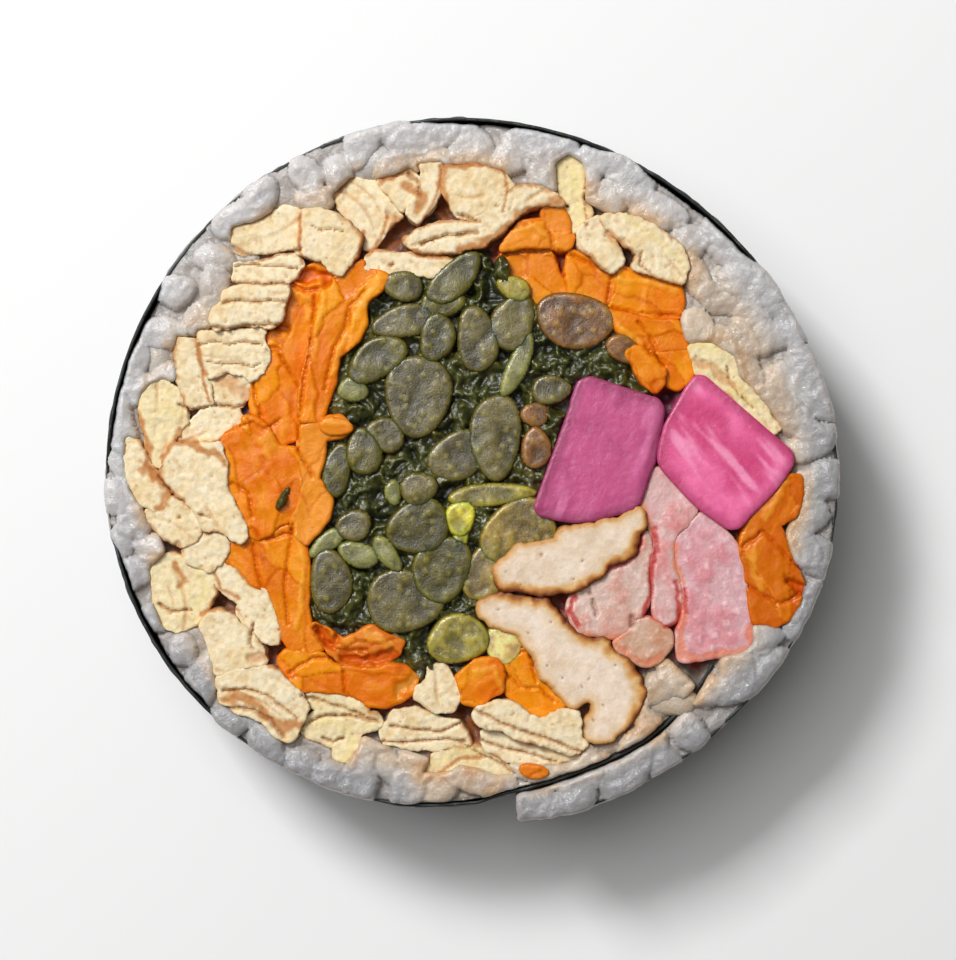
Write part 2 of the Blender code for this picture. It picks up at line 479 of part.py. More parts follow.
def rice_section(sweep, uneven):
    """The rice's section at a sweep: (radius, height) round its four sides, uneven on top."""
    edge = SHEET_THICKNESS / 2 + CLEARANCE
    outer = sheet_radius(sweep) - edge
    share = min(max((sweep - 360 + LAP_EASE) / LAP_EASE, 0), 1)
    lapped = sheet_radius(max(sweep - 360, 0)) + edge
    inner = between(RICE_INNER, sweep) * (1 - share) + lapped * share
    middle = (inner + outer) / 2
    lumps = [uneven.uniform(-RICE_LUMP, 0) for _ in range(3)]
    half, top = SLICE_HEIGHT / 2, SLICE_HEIGHT
    return (
        (inner, 0.0), (outer, 0.0), (outer + bulge(half), half), (outer, top + lumps[0]),
        (middle, top + lumps[1]), (inner, top + lumps[2]), (inner + bulge(half) * share, half),
    )


def make_rice(collection):
    """The rice: its section swept along the inner side of the sheet, over the lap as well."""
    steps = round((RICE_END - RICE_START) / RICE_STEP)
    uneven = random.Random("rice")
    swept = bmesh.new()
    rings = []
    for i in range(steps + 1):
        sweep = RICE_START + (RICE_END - RICE_START) * i / steps
        ring = []
        for radius, height in rice_section(sweep, uneven):
            place = polar(sweep, radius)
            ring.append(swept.verts.new(Vector((place.x, place.y, height)) * MM))
        rings.append(ring)
    for ring, following in zip(rings, rings[1:]):
        for i in range(len(ring)):
            after = (i + 1) % len(ring)
            swept.faces.new((ring[i], ring[after], following[after], following[i]))
    swept.faces.new(rings[0])
    swept.faces.new(rings[-1])
    bmesh.ops.recalc_face_normals(swept, faces=swept.faces)
    bmesh.ops.triangulate(swept, faces=swept.faces)
    mesh = bpy.data.meshes.new("rice")
    swept.to_mesh(mesh)
    swept.free()
    return object_of("rice", "rice", mesh, collection)


def inside_of_sheet():
    """The space inside the sheet's first turn, which every filling keeps to."""
    edge = SHEET_THICKNESS / 2 + CLEARANCE
    steps = round(360 / SHEET_STEP)
    sweeps = [360 * i / steps for i in range(steps)]
    return [polar(sweep, sheet_radius(sweep) - edge) for sweep in reversed(sweeps)]


def cut_height(kind, seed):
    low, high = ENDS[kind]
    return SLICE_HEIGHT + random.Random(seed + "_end").uniform(low, high)


def make_fillings(collection, cutters):
    """The strips and batons, in the order in which they keep their shape against each other."""
    kinds = (
        ("radish_baton", RADISH_BATONS, BATON_CORNER), ("fish_cake", FISH_CAKES, 0),
        ("crab_stick", CRAB_STICKS, 0), ("egg_strip", EGG_STRIPS, 0),
        ("carrot_strip", CARROT_STRIPS, 0),
    )
    limit = make_cutter("gim_sheet", inside_of_sheet(), cutters)
    safe_radius = min(p.length for p in inside_of_sheet())
    placed = []
    for kind, pieces, corner_cut in kinds:
        for number, corners in enumerate(pieces, 1):
            name = f"{kind}_{number:02d}"
            outline = corner_outline(corners, corner_cut)
            piece = prism(name, kind, outline, 0.0, cut_height(kind, name), collection)
            for other_box, cutter in placed:
                if boxes_meet(box_of(outline), other_box):
                    boolean(piece, cutter, "DIFFERENCE")
            if max(p.length for p in outline) > safe_radius:
                boolean(piece, limit, "INTERSECT")
            if piece.modifiers:
                apply_cuts(piece)
            wide = grown(outline, CLEARANCE)
            placed.append((box_of(wide), make_cutter(name, wide, cutters)))
    return placed


def make_greens(collection, cutters, placed):
    """The spinach: one bundle of two joined stretches, pressed into what the strips leave."""
    height = cut_height("greens", "greens")
    outlines = [strip_outline(path, f"greens_{i}") for i, path in enumerate(GREENS)]
    bundle = prism("greens", "greens", outlines[0], 0.0, height, collection)
    branch = prism("greens_branch", "greens", outlines[1], 0.0, height, cutters)
    branch.hide_render = True
    branch.display_type = "WIRE"
    boolean(bundle, branch, "UNION")
    for _, cutter in placed:
        boolean(bundle, cutter, "DIFFERENCE")
    apply_cuts(bundle)
    for number, outline in enumerate(outlines):
        wide = grown(outline, CLEARANCE)
        placed.append((box_of(wide), make_cutter(f"greens_{number}", wide, cutters)))


def bevel_rims(obj):
    """Rounds the rim of a firm filling at both cut faces."""
    rim = obj.modifiers.new("rim", "BEVEL")
    rim.width = RIM_BEVEL * MM
    rim.segments = 1
    rim.limit_method = "ANGLE"
    rim.angle_limit = math.radians(75)


def centre_on_origin(objects):
    """Moves everything so that the origin is below the middle of the slice's bounding box."""
    bpy.context.view_layer.update()
    corners = [obj.matrix_world @ Vector(corner) for obj in objects for corner in obj.bound_box]
    across = [c.x for c in corners]
    along = [c.y for c in corners]
    middle = Vector((min(across) + max(across), min(along) + max(along), 0)) / 2
    for obj in bpy.data.objects:
        obj.location -= middle


def main():
    clear_scene()
    slice_collection = new_collection("gimbap_slice")
    cutters = new_collection("cutters")
    make_gim_sheet(slice_collection)
    rice = make_rice(slice_collection)
    placed = make_fillings(slice_collection, cutters)
    make_greens(slice_collection, cutters, placed)
    for _, cutter in placed:
        boolean(rice, cutter, "DIFFERENCE")
    apply_cuts(rice)
    for obj in slice_collection.objects:
        if obj.name.startswith(("radish", "fish", "crab")):
            bevel_rims(obj)
    centre_on_origin(slice_collection.objects)


main()
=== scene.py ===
"""The looks of the gimbap slice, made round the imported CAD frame.

Every filling becomes a slab with the outline of its CAD solid and a cut face in fine relief, the
rice becomes pressed grains, the spinach becomes stems in a bed of leaf, and the seaweed sheet
gets its wrinkles. Lengths are in millimetres until a mesh is made, angles in degrees, and colours
are sRGB values of 0 to 255 until they are painted on a mesh.
"""

import math

import bpy
import numpy as np
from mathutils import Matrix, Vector
from mathutils.geometry import delaunay_2d_cdt
from mathutils.kdtree import KDTree


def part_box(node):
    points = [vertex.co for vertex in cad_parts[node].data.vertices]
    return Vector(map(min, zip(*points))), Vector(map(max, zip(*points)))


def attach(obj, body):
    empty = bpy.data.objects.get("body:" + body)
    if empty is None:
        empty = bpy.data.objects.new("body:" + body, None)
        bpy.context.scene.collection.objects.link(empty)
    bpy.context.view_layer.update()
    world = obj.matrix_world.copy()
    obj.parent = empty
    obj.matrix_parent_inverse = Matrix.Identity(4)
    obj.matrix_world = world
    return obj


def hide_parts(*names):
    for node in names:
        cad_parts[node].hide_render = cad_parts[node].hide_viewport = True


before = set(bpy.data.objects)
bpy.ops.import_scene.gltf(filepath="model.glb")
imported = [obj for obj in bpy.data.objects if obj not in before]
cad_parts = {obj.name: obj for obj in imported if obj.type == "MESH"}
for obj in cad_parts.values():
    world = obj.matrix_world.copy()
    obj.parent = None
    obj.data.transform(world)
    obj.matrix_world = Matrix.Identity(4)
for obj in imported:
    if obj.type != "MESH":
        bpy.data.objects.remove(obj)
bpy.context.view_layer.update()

MM = 0.001
# From the roll's axis to the middle of its bounding box, where the frame has its origin
PART_SHIFT = np.array((-0.16, 0.23))
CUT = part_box("gim_sheet")[1].z / MM
STEP = 0.17
NODES = sorted(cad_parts)
# How far a filling may swell to meet its neighbours, in steps of how much, leaving what gap
MOST_GROWTH, GROWTH, TOUCHING = 0.2, 0.1, 0.14
# Depths below the rim at which a wall has a ring of points, each with its share of the swelling
WALL_RINGS = ((0.45, 0.5), (1.2, 1.0), (2.6, 1.0))
FOOT_SWELL = 0.6


# ---------------------------------------------------------------- numbers

def ramp(x, low, high):
    """0 below low and 1 above high, smooth between them; low may be the larger."""
    t = np.clip((x - low) / (high - low), 0, 1)
    return t * t * (3 - 2 * t)


def hashed(ix, iy, seed):
    """A value of 0 to 1 for each whole-number place."""
    n = (ix.astype(np.int64) * 374761393 + iy.astype(np.int64) * 668265263 + seed * 97463477)
    n = n & 0xFFFFFFFF
    n = ((n ^ (n >> 13)) * 1274126177) & 0xFFFFFFFF
    n = n ^ (n >> 16)
    return (n & 0xFFFFFF) / float(0xFFFFFF)


def lumps(p, size, seed):
    """Smooth noise of -1 to 1, with lumps of a size."""
    q = p / size
    i = np.floor(q)
    f = q - i
    f = f * f * (3 - 2 * f)
    low = hashed(i[:, 0], i[:, 1], seed) * (1 - f[:, 0]) + hashed(i[:, 0] + 1, i[:, 1], seed) * f[:, 0]
    high = (hashed(i[:, 0], i[:, 1] + 1, seed) * (1 - f[:, 0])
            + hashed(i[:, 0] + 1, i[:, 1] + 1, seed) * f[:, 0])
    return (low * (1 - f[:, 1]) + high * f[:, 1]) * 2 - 1


def rough(p, size, seed, octaves=3):
    """Noise with finer and finer lumps on top."""
    total, gain = np.zeros(len(p)), 1.0
    for k in range(octaves):
        total += gain * lumps(p + 13.7 * k, size / 2 ** k, seed + k)
        gain *= 0.5
    return total


def cells(p, size, seed):
    """For scattered seeds: distance to the nearest, to the next one, and the nearest's number."""
    q = p / size
    base = np.floor(q)
    near, second, number = np.full(len(p), 9.0), np.full(len(p), 9.0), np.zeros(len(p))
    for dx in (-1, 0, 1):
        for dy in (-1, 0, 1):
            i = base + (dx, dy)
            px = i[:, 0] + hashed(i[:, 0], i[:, 1], seed)
            py = i[:, 1] + hashed(i[:, 0], i[:, 1], seed + 1)
            gap = np.hypot(q[:, 0] - px, q[:, 1] - py)
            closer = gap < near
            second = np.where(closer, near, np.minimum(second, gap))
            number = np.where(closer, hashed(i[:, 0], i[:, 1], seed + 2), number)
            near = np.minimum(near, gap)
    return near * size, second * size, number


def blend(low, high, share):
    """Colour low where share is 0 and high where it is 1. Either may be one colour."""
    share = np.atleast_1d(share)[:, None]
    return np.asarray(low, float) * (1 - share) + np.asarray(high, float) * share


def linear(rgb):
    """Linear colours of 0 to 1 from sRGB colours of 0 to 255."""
    c = np.clip(rgb / 255.0, 0, 1)
    return np.where(c <= 0.04045, c / 12.92, ((c + 0.055) / 1.055) ** 2.4)


# ---------------------------------------------------------------- outlines

def signed_area(loop):
    """An outline's area, positive where it runs anticlockwise."""
    after = np.roll(loop, -1, axis=0)
    return float(np.sum(loop[:, 0] * after[:, 1] - after[:, 0] * loop[:, 1]) / 2)


def loops_of(node, depth=1.0):
    """The rims of a CAD node's upper face, largest first: its outline and any holes, in mm."""
    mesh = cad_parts[node].data
    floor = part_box(node)[1].z / MM - depth
    corners = [tuple(round(c / MM, 3) for c in v.co) for v in mesh.vertices]
    count, sides = {}, {}
    for face in mesh.polygons:
        ring = [corners[i] for i in face.vertices]
        if min(c[2] for c in ring) < floor:
            continue
        for start, end in zip(ring, ring[1:] + ring[:1]):
            key = tuple(sorted((start, end)))
            count[key] = count.get(key, 0) + 1
            sides[key] = (start, end)
    onward = {}
    for key, used in count.items():
        start, end = sides[key]
        if used == 1 and start[:2] != end[:2]:
            onward[start] = end
    loops = []
    while onward:
        place = next(iter(onward))
        loop = []
        while place in onward:
            following = onward.pop(place)
            loop.append(place[:2])
            place = following
        if len(loop) > 2:
            loops.append(np.array(loop))
    loops.sort(key=lambda loop: -abs(signed_area(loop)))
    return [loop if (signed_area(loop) > 0) == (k == 0) else loop[::-1] for k, loop in enumerate(loops)]


def resampled(loop, spacing):
    """Evenly spaced points round a closed outline."""
    closed = np.vstack([loop, loop[:1]])
    lengths = np.concatenate([[0], np.cumsum(np.linalg.norm(np.diff(closed, axis=0), axis=1))])
    at = np.linspace(0, lengths[-1], max(8, round(lengths[-1] / spacing)), endpoint=False)
    return np.column_stack([np.interp(at, lengths, closed[:, k]) for k in (0, 1)])


def rounded(loop, radius, spacing):
    """The outline with its corners rounded off over about a radius."""
    for _ in range(round((radius / spacing) ** 2 * 2)):
        loop = 0.25 * np.roll(loop, 1, axis=0) + 0.5 * loop + 0.25 * np.roll(loop, -1, axis=0)
    return loop


def outwards(loop):
    """The outward direction at each point of an anticlockwise outline, or inward round a hole."""
    along = np.roll(loop, -1, axis=0) - np.roll(loop, 1, axis=0)
    along /= np.maximum(np.linalg.norm(along, axis=1), 1e-9)[:, None]
    return np.column_stack([along[:, 1], -along[:, 0]])


def inside(points, loops):
    """Which points lie within the outlines, by counting crossings."""
    within = np.zeros(len(points), bool)
    x, y = points[:, 0], points[:, 1]
    for loop in loops:
        for (x1, y1), (x2, y2) in zip(loop, np.roll(loop, -1, axis=0)):
            if y1 == y2:
                continue
            cross = ((y1 > y) != (y2 > y)) & (x < (x2 - x1) * (y - y1) / (y2 - y1) + x1)
            within ^= cross
    return within


def tree_of(points):
    tree = KDTree(len(points))
    for i, (x, y) in enumerate(points):
        tree.insert((x, y, 0), i)
    tree.balance()
    return tree


def distances(points, ring):
    """Each point's distance to the nearest point of a ring."""
    tree = tree_of(ring)
    return np.array([tree.find((x, y, 0))[2] for x, y in points])


def fill(loops, step, seed):
    """Triangles across the outlines: (points, triangles), with the outlines' points first."""
    ring = np.vstack(loops)
    low, high = ring.min(axis=0), ring.max(axis=0)
    rows = np.arange(low[1], high[1], step * 0.866)
    grid = np.array([
        (x + (k % 2) * step / 2, y) for k, y in enumerate(rows) for x in np.arange(low[0], high[0], step)
    ]).reshape(-1, 2)
    shake = np.random.default_rng(seed).uniform(-0.2, 0.2, grid.shape) * step
    grid = grid + shake
    grid = grid[inside(grid, loops)]
    if len(grid):
        grid = grid[distances(grid, ring) > step * 0.55]
    points = np.vstack([ring, grid])
    edges, start = [], 0
    for loop in loops:
        edges += [(start + i, start + (i + 1) % len(loop)) for i in range(len(loop))]
        start += len(loop)
    made = delaunay_2d_cdt([Vector(p) for p in points], edges, [], 0, 1e-7)
    points = np.array([tuple(v) for v in made[0]])
    triangles = np.array([tuple(face) for face in made[2]])
    triangles = triangles[inside(points[triangles].mean(axis=1), loops)]
    return points, triangles


def rim_edges(triangles):
    """The directed edges that belong to just one triangle."""
    sides = np.vstack([triangles[:, [0, 1]], triangles[:, [1, 2]], triangles[:, [2, 0]]])
    low, high = sides.min(axis=1), sides.max(axis=1)
    _, first, count = np.unique(low * (high.max() + 1) + high, return_index=True, return_counts=True)
    return sides[first[count == 1]]


# ---------------------------------------------------------------- pieces

def strip_frame(points):
    """Places along and across a strip, from its middle line: a parabola through its points."""
    middle = points.mean(axis=0)
    _, axes = np.linalg.eigh(np.cov((points - middle).T))
    long_axis = axes[:, 1] * (1 if axes[0, 1] >= 0 else -1)
    short_axis = np.array([-long_axis[1], long_axis[0]])
    along, across = (points - middle) @ long_axis, (points - middle) @ short_axis
    bow = np.polyfit(along, across, 2)
    return along, across - np.polyval(bow, along)


class Cut:
    """What a recipe needs to know about a cut face: places, edge distances and the strip's axes."""

    def __init__(self, points, edge, seed):
        self.p = points
        self.edge = edge
        self.seed = seed
        self.count = len(points)
        self.along, self.across = strip_frame(points)
        self.half_width = max(np.percentile(np.abs(self.across), 92), 0.2)
        self.grain = np.column_stack([self.along, self.across])


def seed_of(name):
    """A number of its own for each name."""
    return sum((i + 3) * ord(c) for i, c in enumerate(name)) % 9973


# How strongly each food takes up red, green and blue under the studio's light
GRADES = {
    "rice_look": (1.02, 0.97, 0.92), "egg_look": (0.96, 0.89, 0.88), "carrot_look": (0.88, 0.81, 0.31),
    "radish_look": (1.1, 1.07, 1.03), "fish_cake_look": (0.96, 0.9, 0.86),
    "crab_look": (1.04, 1.0, 0.98), "leaf_look": (0.86, 0.74, 0.36), "stem_look": (1.06, 0.9, 0.48),
}


def make_piece(name, vertices, faces, colours, wetness, material):
    """A mesh object, its places in mm and its colours in sRGB, with wetness as the colour's alpha."""
    mesh = bpy.data.meshes.new(name)
    vertices = np.asarray(vertices, float) * MM
    faces = [tuple(int(i) for i in face) for face in faces]
    mesh.from_pydata([tuple(v) for v in vertices], [], faces)
    tint = mesh.color_attributes.new("tint", "FLOAT_COLOR", "POINT")
    tones = linear(colours) * GRADES.get(material.name, 1.0)
    values = np.column_stack([tones, np.clip(wetness, 0, 1)]).astype(np.float32)
    tint.data.foreach_set("color", values.ravel())
    mesh.materials.append(material)
    mesh.shade_smooth()
    piece = bpy.data.objects.new(name, mesh)
    bpy.context.scene.collection.objects.link(piece)
    return piece


def slab(loops, recipe, seed, top, bottom=0.0, side=(0.08, 0.15), step=STEP, tuck=None):
    """A filling cut at both ends: (vertices, faces, colours, wetness).

    The recipe gives the cut face's relief, colours and wetness from a Cut. The walls follow the
    outline down, swelling and wandering a little by the two lengths in side. Below the rim they
    are drawn in by what tuck gives at each place.
    """
    points, triangles = fill(loops, step, seed)
    ring = np.vstack(loops)
    edge = distances(points, ring)
    relief, colours, wet = recipe(Cut(points, edge, seed))
    vertices = [np.column_stack([points, top + relief])]
    faces = [triangles]
    tints, wets = [colours], [wet]
    rims = rim_edges(triangles)
    rim = np.unique(rims)
    slot = np.full(len(points), -1)
    slot[rim] = np.arange(len(rim))
    normal = np.zeros((len(points), 2))
    for start, end in rims:
        run = points[end] - points[start]
        out = np.array([run[1], -run[0]])
        normal[start] += out
        normal[end] += out
    normal = normal[rim] / np.maximum(np.linalg.norm(normal[rim], axis=1), 1e-9)[:, None]
    drawn_in = tuck(points[rim]) if tuck else np.zeros(len(rim))
    above, total = rim, len(points)
    for depth, swell in (*WALL_RINGS, (top - bottom, FOOT_SWELL)):
        wander = lumps(points[rim] + depth * 3.1, 1.1, seed + 40) * side[1]
        out = side[0] * swell + wander * swell - drawn_in * min(depth, 1)
        place = points[rim] + normal * out[:, None]
        height = np.full(len(rim), top - depth) + np.where(depth < 1, relief[rim] * 0.6, 0)
        vertices.append(np.column_stack([place, np.maximum(height, bottom)]))
        ids = np.arange(total, total + len(rim))
        a, b = slot[rims[:, 0]], slot[rims[:, 1]]
        quads = np.column_stack([above[a], ids[a], ids[b], above[b]])
        faces.append(quads)
        # Painted shade: each ring of the wall is painted darker the deeper it lies.
        shade = 1 - 0.1 * min(depth, 2)
        tints.append(colours[rim] * shade)
        wets.append(wet[rim])
        above, total = ids, total + len(rim)
    lower, across = fill([place[slot[order]] for order in ordered(rims)], step * 3, seed + 1)
    lower_edge = distances(lower, place)
    lower_relief, lower_colours, lower_wet = recipe(Cut(lower, lower_edge, seed))
    raised = np.where(lower_edge > step, 0.02 - 0.2 * np.minimum(lower_relief, 0), 0)
    vertices.append(np.column_stack([lower, bottom + np.clip(raised, 0, 0.3)]))
    faces.append(across[:, ::-1] + total)
    tints.append(lower_colours)
    wets.append(lower_wet)
    faces = [tuple(face) for block in faces for face in block]
    return np.vstack(vertices), faces, np.vstack(tints), np.concatenate(wets)


def ordered(rims):
    """The rim's points in order, one list for each closed outline."""
    onward = {int(a): int(b) for a, b in rims}
    chains = []
    while onward:
        place = next(iter(onward))
        chain = []
        while place in onward:
            chain.append(place)
            place = onward.pop(place)
        chains.append(np.array(chain))
    return chains


def joined(parts):
    """Several slabs' arrays as one."""
    vertices, faces, colours, wets, start = [], [], [], [], 0
    for part in parts:
        vertices.append(part[0])
        faces += [tuple(i + start for i in face) for face in part[1]]
        colours.append(part[2])
        wets.append(part[3])
        start += len(part[0])
    return np.vstack(vertices), faces, np.vstack(colours), np.concatenate(wets)


def packed_outlines():
    """Every filling's outline, grown towards its neighbours until they all but touch."""
    fillings = [node for node in NODES if node not in ("rice", "gim_sheet")]
    loops = {node: resampled(loops_of(node)[0], STEP) for node in fillings}
    walls = [resampled(loop, STEP) for loop in loops_of("rice")]
    for _ in range(round(MOST_GROWTH / GROWTH)):
        points = np.vstack(list(loops.values()) + walls)
        owner = np.repeat(np.arange(len(loops) + 1),
                          [len(loop) for loop in loops.values()] + [sum(len(w) for w in walls)])
        tree = tree_of(points)
        for number, node in enumerate(fillings):
            loop = loops[node]
            reached = loop + outwards(loop) * GROWTH
            free = np.array([
                all(owner[i] == number for _, i, _ in tree.find_range((x, y, 0), TOUCHING))
                for x, y in reached
            ])
            loop = np.where(free[:, None], reached, loop)
            loops[node] = resampled(loop, STEP)
    return loops


def outlines(node, grow, corner, ragged=0.0, ragged_size=0.6, pucker=0.0):
    """A node's packed outline, its corners eased, grown a little more, made ragged and puckered."""
    loop = rounded(PACKED[node], corner, STEP)
    wave = rough(loop, ragged_size, seed_of(node) + 70, 3) * ragged
    wave = wave - pucker * (1 - np.abs(rough(loop, 1.3, seed_of(node) + 80, 2))) ** 3
    return [loop + outwards(loop) * (grow + wave)[:, None]]


def path_gap(points, path):
    """Each point's distance to a path of straight runs."""
    gap = np.full(len(points), 99.0)
    for start, end in zip(path, path[1:]):
        run = np.subtract(end, start)
        share = np.clip((points - start) @ run / max(run @ run, 1e-9), 0, 1)
        gap = np.minimum(gap, np.linalg.norm(points - start - share[:, None] * run, axis=1))
    return gap


# What a mark does to the cut face: how far it lowers it, its colour and how strongly it shows; the dark
# colours of crack, fold, cleft, deep and pit are painted shade in those hollows, and pale is painted light
# on thin wet edges
MARK_KINDS = {
    "crack": (0.45, (140, 82, 34), 0.65), "skin": (0.06, (184, 116, 52), 0.85),
    "fold": (0.2, (206, 152, 98), 0.7), "yellow": (0.0, (232, 220, 146), 0.5),
    "cleft": (0.3, (190, 72, 2), 0.6), "deep": (0.6, (206, 76, 4), 0.75),
    "pale": (-0.06, (252, 188, 122), 0.6), "red": (0.1, (176, 30, 28), 0.85),
    "orange": (0.04, (222, 122, 80), 0.7), "pit": (0.4, (150, 116, 100), 0.6),
}


def marked(cut, relief, colour, marks):
    """The relief and colour of a cut face with its cracks, skins and streaks put in."""
    low, high = cut.p.min(axis=0) - 1, cut.p.max(axis=0) + 1
    for i, (kind, half_width, path) in enumerate(marks):
        path = np.array(path) + PART_SHIFT
        if (path.max(axis=0) < low).any() or (path.min(axis=0) > high).any():
            continue
        depth, tone, strength = MARK_KINDS[kind]
        bend = 0.7 * half_width * np.column_stack([lumps(cut.p, 0.5, i), lumps(cut.p, 0.5, i + 9)])
        gap = path_gap(cut.p + bend, path)
        share = ramp(gap, half_width * 1.5, half_width * 0.5)
        relief = relief - depth * share
        colour = blend(colour, tone, share * strength * (0.85 + 0.15 * lumps(cut.p, 0.4, i + 3)))
    return relief, colour


def rim_drop(edge, radius):
    """How far a rounded edge of a radius falls below the face."""
    t = np.clip(1 - edge / radius, 0, 1)
    return -radius * (1 - np.sqrt(1 - t * t * 0.96))
